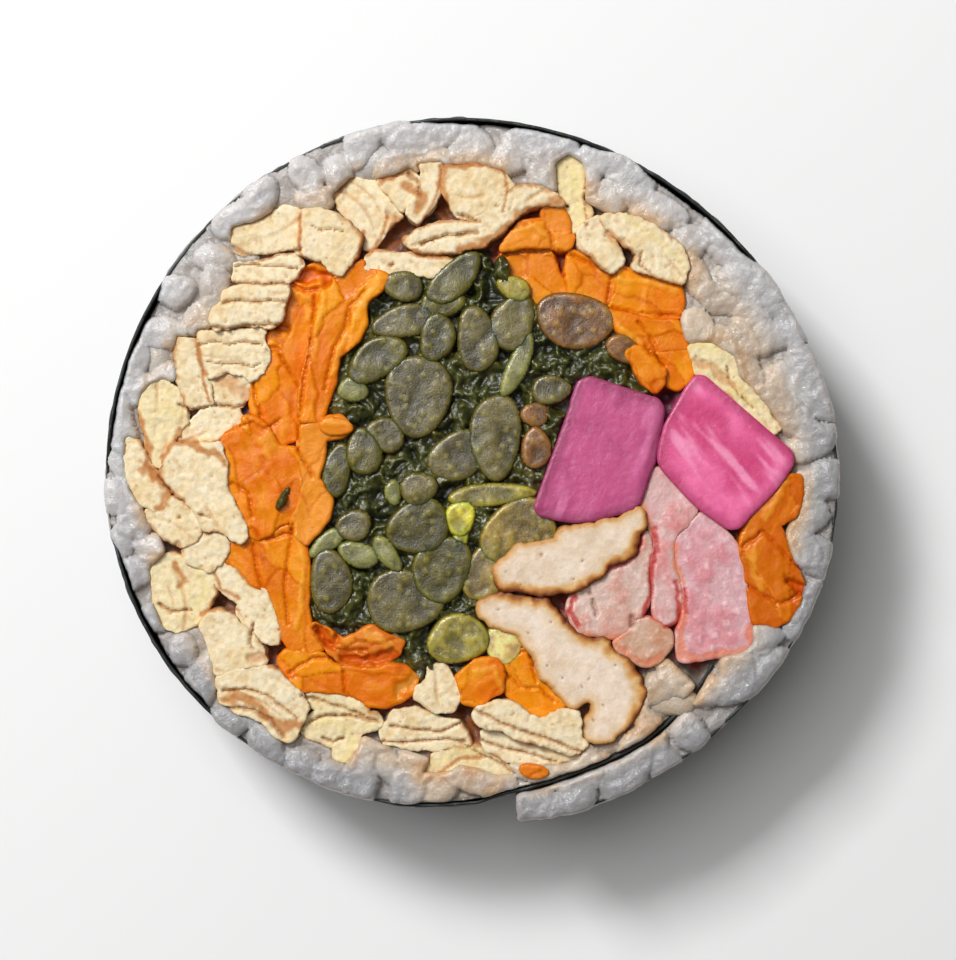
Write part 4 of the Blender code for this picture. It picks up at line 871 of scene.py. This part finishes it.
def egg_strips():
    for node in [n for n in NODES if n.startswith("egg_strip")]:
        across = strip_frame(outlines(node, *SHAPES["egg"])[0])[1]
        layers = max(1, round(2 * np.percentile(np.abs(across), 92) / LAYER_PITCH))
        skin_side = 1 if seed_of(node) % 2 else -1
        make_filling(node, "egg", egg_recipe(skin_side, YELLOW_EGG.get(node, 0.0), layers), EGG)


def carrot_strips():
    for node in [n for n in NODES if n.startswith("carrot_strip")]:
        make_filling(node, "carrot", carrot_recipe(CARROT_TONES.get(node)), CARROT)


def radish_batons():
    for node, look in RADISH_LOOKS.items():
        make_filling(node, "radish", radish_recipe(*look), RADISH, SMOOTH_WALLS)


def fish_cakes():
    for node, side in (("fish_cake_01", -1), ("fish_cake_02", 1)):
        make_filling(node, "fish_cake", fish_cake_recipe(side), FISH)


def crab_sticks():
    for node, look in CRAB_LOOKS.items():
        make_filling(node, "crab_stick", crab_recipe(*look), CRAB)


# ---------------------------------------------------------------- spinach

LEAF_DROP = 0.55
STEM_DEPTH = 3.5
# Cut stems: place from the roll's axis, length, width, turn and tone
STEMS = (
    (-5.5, 14.9, 3, 2, 0, "grey"), (-1.3, 15.5, 5.5, 2.2, 45, "olive"),
    (-2.3, 13.5, 3.6, 2, 10, "olive"), (-5.4, 12, 4.8, 2.3, 8, "grey"),
    (-2.7, 10.7, 3.4, 2.6, 75, "olive"), (0.6, 10.5, 4.8, 3.1, 100, "grey"),
    (3.5, 11.9, 4.3, 3.1, 80, "grey"), (3.6, 14.7, 2.6, 1.4, -20, "lime"),
    (8.6, 12.1, 6.4, 3.9, -14, "brown"), (12.6, 9.7, 2.8, 1.7, -40, "brown"),
    (-7.6, 8.9, 4.8, 2.9, 30, "olive"), (-4.25, 6, 6, 5.3, 90, "grey"),
    (3.9, 8.4, 5.2, 1.3, 68, "mint"), (6.6, 6.4, 2.9, 1.9, 12, "grey"),
    (2.1, 2.6, 7, 3.6, 86, "grey"), (-1.1, 1, 4.6, 3.4, 22, "grey"),
    (-8.7, 1.3, 3.3, 2.6, 90, "olive"), (-10.9, -0.2, 3.9, 2, 80, "olive"),
    (-7, 2.7, 2.8, 2.5, 0, "grey"), (-4.2, -4.8, 4.9, 4, 40, "olive"),
    (-4.2, -1.7, 2.8, 2.2, 20, "grey"), (-6.3, -2, 1.8, 0.9, 90, "mint"),
    (-9.5, -4.7, 2.4, 2.2, 0, "grey"), (-11.4, -9.3, 4.6, 3.2, 92, "grey"),
    (-5.4, -10.9, 5.7, 5, 10, "grey"), (-2.3, -8.3, 5.2, 4.3, 80, "olive"),
    (4, -5.3, 6.4, 4.6, 35, "tan"), (1.2, -8.6, 4.8, 2.8, 68, "tan"),
    (-1, -14, 4.6, 3.6, 0, "lime"), (-11.7, -6.1, 3, 1.2, 35, "mint"),
    (-9.1, -7.1, 2.9, 1.7, -15, "mint"), (-6.8, -7, 3, 1.2, -50, "mint"),
    (-9.6, 6.4, 2.2, 1.5, 0, "mint"), (5.3, 4.4, 2, 1.5, 0, "brown"),
    (5.4, 1.6, 3, 2, 80, "brown"), (1.7, -2.2, 6.6, 1.5, 3, "lime"),
    (-0.8, -4.1, 2.4, 2.1, 80, "yellow"), (-0.8, -5.8, 2.2, 0.8, 86, "yellow"),
    (2.7, -14.5, 2.7, 2.6, 0, "pearl"),
)
STEM_TONES = {
    "grey": (94, 92, 66), "olive": (88, 88, 46), "mint": (118, 126, 104), "lime": (140, 138, 80),
    "tan": (136, 124, 80), "brown": (124, 92, 66), "yellow": (204, 200, 90), "pearl": (232, 206, 178),
}


def leaf_recipe(cut):
    """Wet crumpled leaf: sharp folds, painted darker in the creases as shade and paler on the fold tops as
    painted light.
    """
    p, edge = cut.p, cut.edge
    warp = p + 0.6 * np.column_stack([lumps(p, 1.3, 5), lumps(p, 1.3, 15)])
    fold = 1 - np.abs(rough(warp, 1.9, cut.seed, 4))
    small = 1 - np.abs(rough(warp, 0.6, cut.seed + 3, 3))
    relief = 0.9 * (fold - 0.8) + 0.35 * (small - 0.6) + rim_drop(edge, 0.3)
    relief = np.clip(relief, -1.5, LEAF_DROP - 0.1)
    height = ramp(relief, -1.0, 0.4)
    # Painted shade and light: the leaf is painted darker the lower it lies and paler on the tops of its
    # small folds.
    colour = blend((20, 26, 12), (66, 74, 34), height)
    colour = blend(colour, (104, 112, 52), ramp(small, 0.7, 1.0) * height * 0.7)
    colour = blend(colour, (118, 108, 56), ramp(rough(p, 1.6, cut.seed + 8, 2), 0.3, 1.1) * 0.55)
    return relief, colour, 0.6 + 0.4 * height


def stem_recipe(tone):
    """A stem cut flat: wet and translucent, with a light rim and a ring of pale veins."""
    def recipe(cut):
        p, edge = cut.p, cut.edge
        deep = edge.max()
        fine = rough(p, 0.35, cut.seed, 3)
        broad = rough(p, 1.4, cut.seed + 2, 2)
        relief = rim_drop(edge, min(0.34, deep)) + 0.012 * fine + 0.06 * broad
        near, _, number = cells(p, 0.95, cut.seed + 4)
        ringed = ramp(edge, 0.25, 0.5) * ramp(edge, deep * 0.98, deep * 0.6)
        vein = ramp(near, 0.34, 0.1) * (number > 0.3) * ringed
        core = np.array(STEM_TONES[tone])
        colour = blend(core * 0.78, core * 1.2, ramp(broad + 0.5 * fine, -0.8, 0.8))
        colour = blend(colour, core * (1.2, 1.22, 0.95), ramp(np.abs(edge - 0.2), 0.22, 0.04) * 0.7)
        # Painted shade: a thin dark line at the outermost edge, where the gap to the leaf falls.
        colour = blend(colour, core * 0.5, ramp(edge, 0.08, 0.0) * 0.7)
        colour = blend(colour, core * 0.45 + (118, 118, 70), vein * 0.6)
        return relief + 0.03 * vein, colour, 0.85 + 0.15 * fine
    return recipe


def ellipse(x, y, length, width, turn, seed):
    """A stem's outline: an oval, a little uneven."""
    count = max(14, round(math.pi * (length + width) / 2 / STEP))
    angle = np.arange(count) * 2 * math.pi / count
    wave = 1 + 0.05 * np.sin(2 * angle + seed) + 0.05 * np.sin(3 * angle + seed * 1.7)
    u, v = (length / 2 + 0.25) * np.cos(angle) * wave, (width / 2 + 0.25) * np.sin(angle) * wave
    c, s = math.cos(math.radians(turn)), math.sin(math.radians(turn))
    return np.column_stack([x + u * c - v * s, y + u * s + v * c])


def spinach():
    """Stems cut flat, standing out of a bed of crumpled leaf."""
    seed = seed_of("greens")
    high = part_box("greens")[1].z / MM
    loops = outlines("greens", *SHAPES["greens"])
    leaves = slab(loops, leaf_recipe, seed, high - LEAF_DROP)
    finish_piece(make_piece("spinach_leaves", *leaves, LEAF), "greens", "greens")
    parts = []
    chance = np.random.default_rng(3)
    for i, (x, y, length, width, turn, tone) in enumerate(STEMS):
        loop = ellipse(x + PART_SHIFT[0], y + PART_SHIFT[1], length, width, turn, seed + i)
        rise = high + 0.1 - 0.4 * chance.random()
        parts.append(slab([loop], stem_recipe(tone), seed + i, rise, rise - STEM_DEPTH, (0.1, 0.05)))
    finish_piece(make_piece("spinach_stems", *joined(parts), STEM), "greens", "greens")


# Crumbs of other fillings: place, length, width, turn and height above the cut face
CARROT_CRUMBS = ((5.2, -24.8, 2.0, 0.7, -12, 0.1), (-11.0, 3.4, 2.2, 1.1, -8, 0.15))
LEAF_CRUMBS = ((-15.3, -2.5, 1.6, 0.2, 58, 0.2), (-4.0, -15.7, 1.7, 0.9, -40, 0.0),
               (2.6, 16.2, 0.8, 1.9, 0, -0.1))


def crumbs():
    """Bits of carrot and leaf that the knife left on the cut face."""
    for name, places, recipe, material, slot in (
        ("carrot_crumbs", CARROT_CRUMBS, carrot_recipe((236, 140, 70)), CARROT, "carrot"),
        ("leaf_crumbs", LEAF_CRUMBS, leaf_recipe, LEAF, "greens"),
    ):
        parts = []
        for i, (x, y, length, width, turn, rise) in enumerate(places):
            loop = ellipse(x + PART_SHIFT[0], y + PART_SHIFT[1], length, width, turn, i)
            parts.append(slab([loop], recipe, i, CUT - 0.1 + rise, CUT - 1.6, (0.05, 0.05)))
        finish_piece(make_piece(name, *joined(parts), material), slot)


# ---------------------------------------------------------------- rice

CORE_PITCH = 2.3
LOOSE_PITCH = 3.4
# How near a loose grain's middle may come to the fillings and to the roll's rim
GRAIN_MARGIN, GRAIN_RIM_MARGIN = 0.9, 2.0
MELD = 0.3
# The radii between which the rice passes from inner to rim
RIM_RADII = (27.2, 28.0)
# Directions between which the seaweed's cut edge shows outside the rice
RIM_SHOWS = ((150, 176), (193, 222), (68, 97), (38, 60))


def rim_cover(points):
    """1 where rice hides the seaweed's cut edge and 0 where the edge shows, by direction."""
    angle = np.degrees(np.arctan2(points[:, 1], points[:, 0])) % 360
    cover = np.ones(len(points))
    for start, end in RIM_SHOWS:
        cover *= 1 - ramp(angle, start - 4, start + 2) * ramp(angle, end + 4, end - 2)
    return cover


def scattered(loops, pitch, seed, tries=9000):
    """Places spread over the outlines, none nearer to another than about the pitch."""
    chance = np.random.default_rng(seed)
    ring = np.vstack(loops)
    places = chance.uniform(ring.min(axis=0), ring.max(axis=0), (tries, 2))
    kept = np.empty((0, 2))
    for place in places[inside(places, loops)]:
        if not len(kept) or np.hypot(*(kept - place).T).min() > pitch:
            kept = np.vstack([kept, place])
    return kept


def rice_tone(p, edge, rim_gap, owner, seed):
    """Cooked rice: milky grey-white and stained by the egg, with painted shade near the seaweed that is
    bluer and darker, most towards the lower right.
    """
    pale = blend((210, 205, 200), (190, 186, 184), owner)
    pale = blend(pale, (216, 214, 210), ramp(rough(p, 2.4, seed, 2), 0.1, 1.0) * 0.5)
    pale = blend(pale, (172, 164, 154), ramp(rough(p, 1.3, seed + 2, 3), 0.2, 1.2) * 0.45)
    # Painted shade: near the seaweed the rice is painted bluer and darker, more so towards the lower right.
    shade = ramp(p @ (0.35, -0.94), -16, 18)
    pale = blend(pale, blend((196, 200, 208), (138, 143, 152), shade), ramp(rim_gap, 3.0, 0.3) * 0.75)
    stain = ramp(edge, 1.8, 0.2) * ramp(rim_gap, 1.0, 2.4) * ramp(rough(p, 1.9, 27, 2), -0.5, 0.5)
    pale = blend(pale, (196, 158, 116), stain * 0.6)
    return blend(pale, pale * (1.0, 0.95, 0.88), ramp(p @ (0.8, -0.6), -6, 12) * ramp(rim_gap, 1.8, 3.4))


def rice_recipe(places, outer_ring):
    """Grains pressed into one mass, cut through: low domes with creases where they meet."""
    chance = np.random.default_rng(6)
    count = len(places)
    half_length = np.where(chance.random(count) < 0.6, chance.uniform(2.4, 3.4, count),
                           chance.uniform(1.5, 2.0, count))
    half_width = chance.uniform(1.25, 1.6, count)
    turn = chance.uniform(0, math.pi, count)
    rise = chance.uniform(-0.35, 0.0, count)

    def recipe(cut):
        p, edge = cut.p, cut.edge
        bend = p + 0.3 * np.column_stack([lumps(p, 1.5, 31), lumps(p, 1.5, 47)])
        total = np.full(cut.count, math.exp(-1.0 / MELD))
        best, owner = np.full(cut.count, -9.0), np.zeros(cut.count)
        for i, place in enumerate(places):
            q = bend - place
            c, s = math.cos(turn[i]), math.sin(turn[i])
            u = (q[:, 0] * c + q[:, 1] * s) / half_length[i]
            v = (q[:, 1] * c - q[:, 0] * s) / half_width[i]
            reach = u * u + v * v
            height = rise[i] - 0.5 * (1 - np.sqrt(np.clip(1 - reach, 0, 1)))
            height = np.where(reach < 1, height, -9.0)
            total += np.exp(np.clip(height, -5, 2) / MELD)
            owner = np.where(height > best, (i * 0.6180339) % 1, owner)
            best = np.maximum(best, height)
        mound = MELD * np.log(total)
        relief = np.minimum(mound, -0.1) + 0.2 * np.clip(mound + 0.1, 0, 1)
        relief = relief + 0.07 * rough(p, 0.55, 19, 3) + 0.1 * rough(p, 2.2, 29, 2)
        rim_gap = distances(p, outer_ring)
        relief = relief + rim_drop(edge, 0.35) + 0.1 * ramp(rim_gap, 1.0, 0.2)
        tone = rice_tone(p, edge, rim_gap, owner, 23)
        # Painted shade: the creases where grains meet are painted darker.
        tone = blend(tone, (150, 142, 136), ramp(mound, -0.35, -1.0) * 0.6)
        return relief, tone, 0.7 + 0.2 * rough(p, 0.8, 33, 2)
    return recipe


def rice_tuck(points):
    """How far the rice below its rim lies in from the grains that hang over the seaweed's edge."""
    return (0.25 + 0.55 * rim_cover(points)) * ramp(np.linalg.norm(points, axis=1), *RIM_RADII)


def rice():
    """Pressed rice, with its grains bulging over the seaweed's edge where that doesn't show."""
    loops = loops_of("rice")
    made, outer = [], []
    for loop in loops:
        loop = rounded(resampled(loop, STEP), 0.3, STEP)
        away = np.linalg.norm(loop, axis=1)
        facing = np.einsum("ij,ij->i", outwards(loop), loop / away[:, None])
        on_rim = ramp(facing, 0.55, 0.85) * ramp(away, *RIM_RADII)
        grow = 0.12 + on_rim * (0.55 * rim_cover(loop) - 0.05 + 0.1 * rough(loop, 2.2, 5, 2))
        outer.append(loop[on_rim > 0.5])
        made.append(loop + outwards(loop) * (grow + 0.06 * rough(loop, 0.9, 8, 2))[:, None])
    ring = np.vstack(outer)
    recipe = rice_recipe(scattered(loops, CORE_PITCH, 4), ring)
    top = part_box("rice")[1].z / MM
    data = slab(made, recipe, seed_of("rice"), top, side=(0.0, 0.08), tuck=rice_tuck)
    finish_piece(make_piece("rice_core", *data, RICE), "rice", "rice")
    loose_grains(loops, ring)


def grain_mesh(along, round_):
    """A grain's unit shape: places on an oval with blunt ends, and its faces."""
    rings = []
    for i in range(1, along):
        t = math.pi * i / along
        x, r = -math.cos(t), math.sin(t) ** 0.75
        rings += [(x, r * math.cos(a), r * math.sin(a))
                  for a in (2 * math.pi * k / round_ for k in range(round_))]
    places = np.array([(-1, 0, 0)] + rings + [(1, 0, 0)])
    faces = [(0, 1 + (k + 1) % round_, 1 + k) for k in range(round_)]
    for i in range(along - 2):
        a, b = 1 + i * round_, 1 + (i + 1) * round_
        faces += [(a + k, a + (k + 1) % round_, b + (k + 1) % round_, b + k) for k in range(round_)]
    last, start = len(places) - 1, 1 + (along - 2) * round_
    faces += [(last, start + k, start + (k + 1) % round_) for k in range(round_)]
    return places, faces


def laid_grain(unit, place, gap, rim_gap, top, chance):
    """One grain's places: bent, tipped, turned mostly along the roll's rim and sunk in the rice."""
    half = (min(chance.uniform(2.2, 3.4), gap + 1.4), chance.uniform(1.15, 1.5),
            chance.uniform(0.9, 1.2))
    round_rim = math.atan2(place[1], place[0]) + math.pi / 2
    turn = round_rim + chance.normal(0, 0.25 if rim_gap < half[0] else 0.9)
    dip = chance.uniform(-0.4, 0.4)
    grain = unit * half
    grain[:, 1] += 0.12 * (grain[:, 0] / half[0]) ** 2
    grain = grain + 0.05 * lumps(grain[:, :2] * 1.5 + place, 1.0, 3)[:, None]
    x = grain[:, 0] * math.cos(dip) - grain[:, 2] * math.sin(dip)
    z = grain[:, 0] * math.sin(dip) + grain[:, 2] * math.cos(dip)
    c, s = math.cos(turn), math.sin(turn)
    spot = place + np.column_stack([x * c - grain[:, 1] * s, x * s + grain[:, 1] * c])
    z = z + top - chance.uniform(1.3, 1.6)
    level = top + chance.uniform(-0.3, 0.0)
    z = np.where(z > level, level + 0.25 * (z - level), z)
    return spot, z + 0.03 * rough(spot, 0.6, 3, 2)


def loose_grains(loops, outer_ring):
    """Whole and cut grains lying in the pressed rice, at true size, as one mesh."""
    chance = np.random.default_rng(15)
    unit, unit_faces = grain_mesh(22, 14)
    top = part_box("rice")[1].z / MM
    vertices, faces, colours, wets = [], [], [], []
    places = scattered(loops, LOOSE_PITCH, 9)
    gaps = distances(places, np.vstack(loops))
    rim = distances(places, outer_ring)
    for place, gap, rim_gap in zip(places, gaps, rim):
        if gap < GRAIN_MARGIN or rim_gap < GRAIN_RIM_MARGIN:
            continue
        spot, z = laid_grain(unit, place, gap, rim_gap, top, chance)
        start = len(unit) * len(vertices)
        vertices.append(np.column_stack([spot, z]))
        faces += [tuple(i + start for i in face) for face in unit_faces]
        tone = rice_tone(spot, np.full(len(spot), gap), np.full(len(spot), rim_gap),
                         np.full(len(spot), chance.random()), 53)
        colours.append(blend(tone, (218, 217, 215), 0.15))
        wets.append(np.full(len(spot), 0.85))
    data = (np.vstack(vertices), faces, np.vstack(colours), np.concatenate(wets))
    finish_piece(make_piece("rice_grains", *data, RICE), "rice", "rice")


# ---------------------------------------------------------------- seaweed sheet

SHEET_THICK = 0.24
SHEET_SPACING, SHEET_ROWS = ((0.33, 30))
SIDE_SWELL = 0.5
LOOSE_END = 3.2


def sheet_line(spacing):
    """The middle of the seaweed sheet, seen from above, from its inner edge to its outer edge."""
    loop = loops_of("gim_sheet", 0.2)[0]
    lengths = np.linalg.norm(np.roll(loop, -1, axis=0) - loop, axis=1)
    first, second = sorted(np.argsort(lengths)[:2])
    one = loop[first + 1:second + 1]
    other = np.roll(loop, -(second + 1), axis=0)[:len(loop) - len(one)][::-1]
    middle = (one + other[:len(one)]) / 2
    along = np.concatenate([[0], np.cumsum(np.linalg.norm(np.diff(middle, axis=0), axis=1))])
    at = np.linspace(0, along[-1], round(along[-1] / spacing))
    return np.column_stack([np.interp(at, along, middle[:, k]) for k in (0, 1)]), at


def sheet_faces(rows, count):
    """Faces over rows of points: the sheet's two skins, and its edges that close them."""
    faces = []
    for skin in (0, 1):
        for r in range(rows - 1):
            low = (skin * rows + r) * count
            for i in range(count - 1):
                quad = (low + i, low + i + 1, low + count + i + 1, low + count + i)
                faces.append(quad if skin == 0 else quad[::-1])
    inner = rows * count
    top = (rows - 1) * count
    for i in range(count - 1):
        faces.append((top + i, top + i + 1, inner + top + i + 1, inner + top + i))
        faces.append((i + 1, i, inner + i, inner + i + 1))
    for r in range(rows - 1):
        a, b = r * count, (r + 1) * count
        faces.append((a, b, inner + b, inner + a))
        a, b = a + count - 1, b + count - 1
        faces.append((b, a, inner + a, inner + b))
    return faces


def seaweed_sheet():
    """The rolled sheet: thin, puckered where the rice pushes on it and ragged along its rim."""
    line, at = sheet_line(SHEET_SPACING)
    line, at = line[at < at[-1] - LOOSE_END], at[at < at[-1] - LOOSE_END]
    step = np.gradient(line, axis=0)
    step /= np.linalg.norm(step, axis=1)[:, None]
    out = np.column_stack([step[:, 1], -step[:, 0]])
    out *= np.sign(np.einsum("ij,ij->i", out, line).sum())
    shares = np.linspace(0, 1, SHEET_ROWS)
    ragged = 0.12 * rough(np.column_stack([at, at * 0]), 1.1, 3, 3)
    rim = CUT - 0.05 + ragged - 0.9 * rim_cover(line)
    vertices, colours, wets = [], [], []
    for face in (0.5, -0.5):
        for share in shares:
            height = rim * share
            swell = SIDE_SWELL * np.sin(math.pi * np.clip(height / CUT, 0, 1))
            q = np.column_stack([at, height])
            near, _, _ = cells(q * (0.8, 1.0), 2.6, 12)
            grain = ramp(near, 1.7, 0.2) * 0.22
            pucker = 0.07 * rough(q * (1.0, 0.7), 1.1, 21, 3)
            away = swell + (grain + pucker) * ramp(height, CUT, CUT - 4) + face * SHEET_THICK - 0.1
            vertices.append(np.column_stack([line + out * away[:, None], height]))
            shade = blend((24, 27, 26), (44, 50, 44), ramp(rough(q, 1.4, 9, 3), -0.6, 1.0))
            # Painted highlight: the tops of the grain bumps are painted a paler blue-grey.
            shade = blend(shade, (84, 92, 96), 0.35 * ramp(near, 0.9, 0.0))
            colours.append(shade)
            wets.append(0.5 + 0.4 * rough(q, 2.0, 17, 2))
    faces = sheet_faces(SHEET_ROWS, len(line))
    data = (np.vstack(vertices), faces, np.vstack(colours), np.concatenate(wets))
    finish_piece(make_piece("seaweed_sheet", *data, NORI), "gim", "gim_sheet")


# ---------------------------------------------------------------- what shows in the gaps

# How high the bed lies, how far its bumps may rise above that, and its radius
BED_TOP, BED_ROOM, BED_RADIUS = 13.6, 0.9, 26.3
BED_FOOT, BED_SIDES, BED_STEP = 0.6, 220, 0.42
# Each kind's bed colour: a darkened tone of the filling, painted shade for the gaps.
BED_SHADE_TONES = {"egg_strip": (126, 66, 22), "carrot_strip": (160, 40, 0), "greens": (20, 24, 12),
             "radish_baton": (110, 30, 60), "fish_cake": (110, 42, 12), "crab_stick": (146, 34, 24),
             "rice": (128, 112, 98)}


def gap_bed():
    """Crushed bits of the fillings, low in the gaps, coloured as darkened tones of the nearest piece, which
    paint the shade in the gaps.
    """
    marks, tones = [], []
    for node in NODES:
        kind = node.rstrip("0123456789").rstrip("_")
        if kind not in BED_SHADE_TONES:
            continue
        for loop in loops_of(node):
            for place in resampled(loop, 0.6):
                marks.append(place)
                tones.append(BED_SHADE_TONES[kind])
    marks, tones = np.array(marks), np.array(tones, float)
    tree = tree_of(marks)

    def recipe(cut):
        near, _, number = cells(cut.p, 1.5, 5)
        found = [tree.find((x, y, 0))[1:] for x, y in cut.p]
        owner, gap = [f[0] for f in found], np.array([f[1] for f in found])
        relief = 0.9 * ramp(near, 0.8, 0.1) * number + 0.3 * rough(cut.p, 1.0, 6, 3)
        relief = np.minimum(relief + 1.1 * ramp(gap, 0.6, 0.3), BED_ROOM)
        colour = tones[owner] * (0.8 + 0.35 * rough(cut.p, 0.8, 7, 2))[:, None]
        return relief, colour, np.full(cut.count, 0.5)

    angle = np.arange(BED_SIDES) * 2 * math.pi / BED_SIDES
    disc = BED_RADIUS * np.column_stack([np.cos(angle), np.sin(angle)])
    data = slab([disc], recipe, 77, BED_TOP, BED_FOOT, (0, 0), max(STEP, BED_STEP))
    finish_piece(make_piece("gap_bed", *data, BED), "carrot")


# ---------------------------------------------------------------- floor, light and camera

FLOOR_SIZE, FLOOR_COLOUR, FLOOR_ROUGHNESS = 3.0, (0.9, 0.9, 0.9, 1), 0.7
SKY_COLOUR, SKY_STRENGTH = (1.0, 0.99, 0.97, 1), 0.12
# Lamps: place and size in metres, power in watts
LAMPS = {"key": ((-0.22, 0.26, 0.42), 0.13, 2.2), "top": ((-0.14, 0.14, 0.50), 0.32, 1.05)}


def floor():
    bpy.ops.mesh.primitive_plane_add(size=FLOOR_SIZE)
    ground = bpy.context.active_object
    ground.name = "floor"
    plain = bpy.data.materials.new("floor_look")
    plain.use_nodes = True
    shader = plain.node_tree.nodes["Principled BSDF"]
    shader.inputs["Base Color"].default_value = FLOOR_COLOUR
    shader.inputs["Roughness"].default_value = FLOOR_ROUGHNESS
    ground.data.materials.append(plain)


def area_light(name, place, size, power):
    light = bpy.data.lights.new(name, "AREA")
    light.size = size
    light.energy = power
    lamp = bpy.data.objects.new(name, light)
    lamp.location = place
    lamp.rotation_euler = (-Vector(place)).to_track_quat("-Z", "Y").to_euler()
    bpy.context.scene.collection.objects.link(lamp)


def studio():
    world = bpy.data.worlds.new("studio")
    bpy.context.scene.world = world
    world.use_nodes = True
    sky = world.node_tree.nodes["Background"]
    sky.inputs["Color"].default_value = SKY_COLOUR
    sky.inputs["Strength"].default_value = SKY_STRENGTH
    for name, lamp in LAMPS.items():
        area_light(name, *lamp)
    bpy.context.scene.view_settings.view_transform = "Standard"


LENS, SENSOR = 100.0, 36.0
# The length across the cut face that fills the picture, and its middle
FRAME_HEIGHT = 78.37
LOOK_AT = (0.49, -0.75)


def camera():
    """Straight above the cut face, which fills most of the picture."""
    lens = bpy.data.cameras.new("camera")
    lens.lens = LENS
    lens.sensor_width = SENSOR
    lens.clip_start = 0.01
    eye = bpy.data.objects.new("camera", lens)
    distance = LENS / SENSOR * FRAME_HEIGHT
    eye.location = Vector((LOOK_AT[0], LOOK_AT[1], CUT + distance)) * MM
    bpy.context.scene.collection.objects.link(eye)
    bpy.context.scene.camera = eye


PACKED = packed_outlines()
camera()
floor()
studio()
gap_bed()
rice()
seaweed_sheet()
spinach()
crumbs()
radish_batons()
fish_cakes()
crab_sticks()
egg_strips()
carrot_strips()
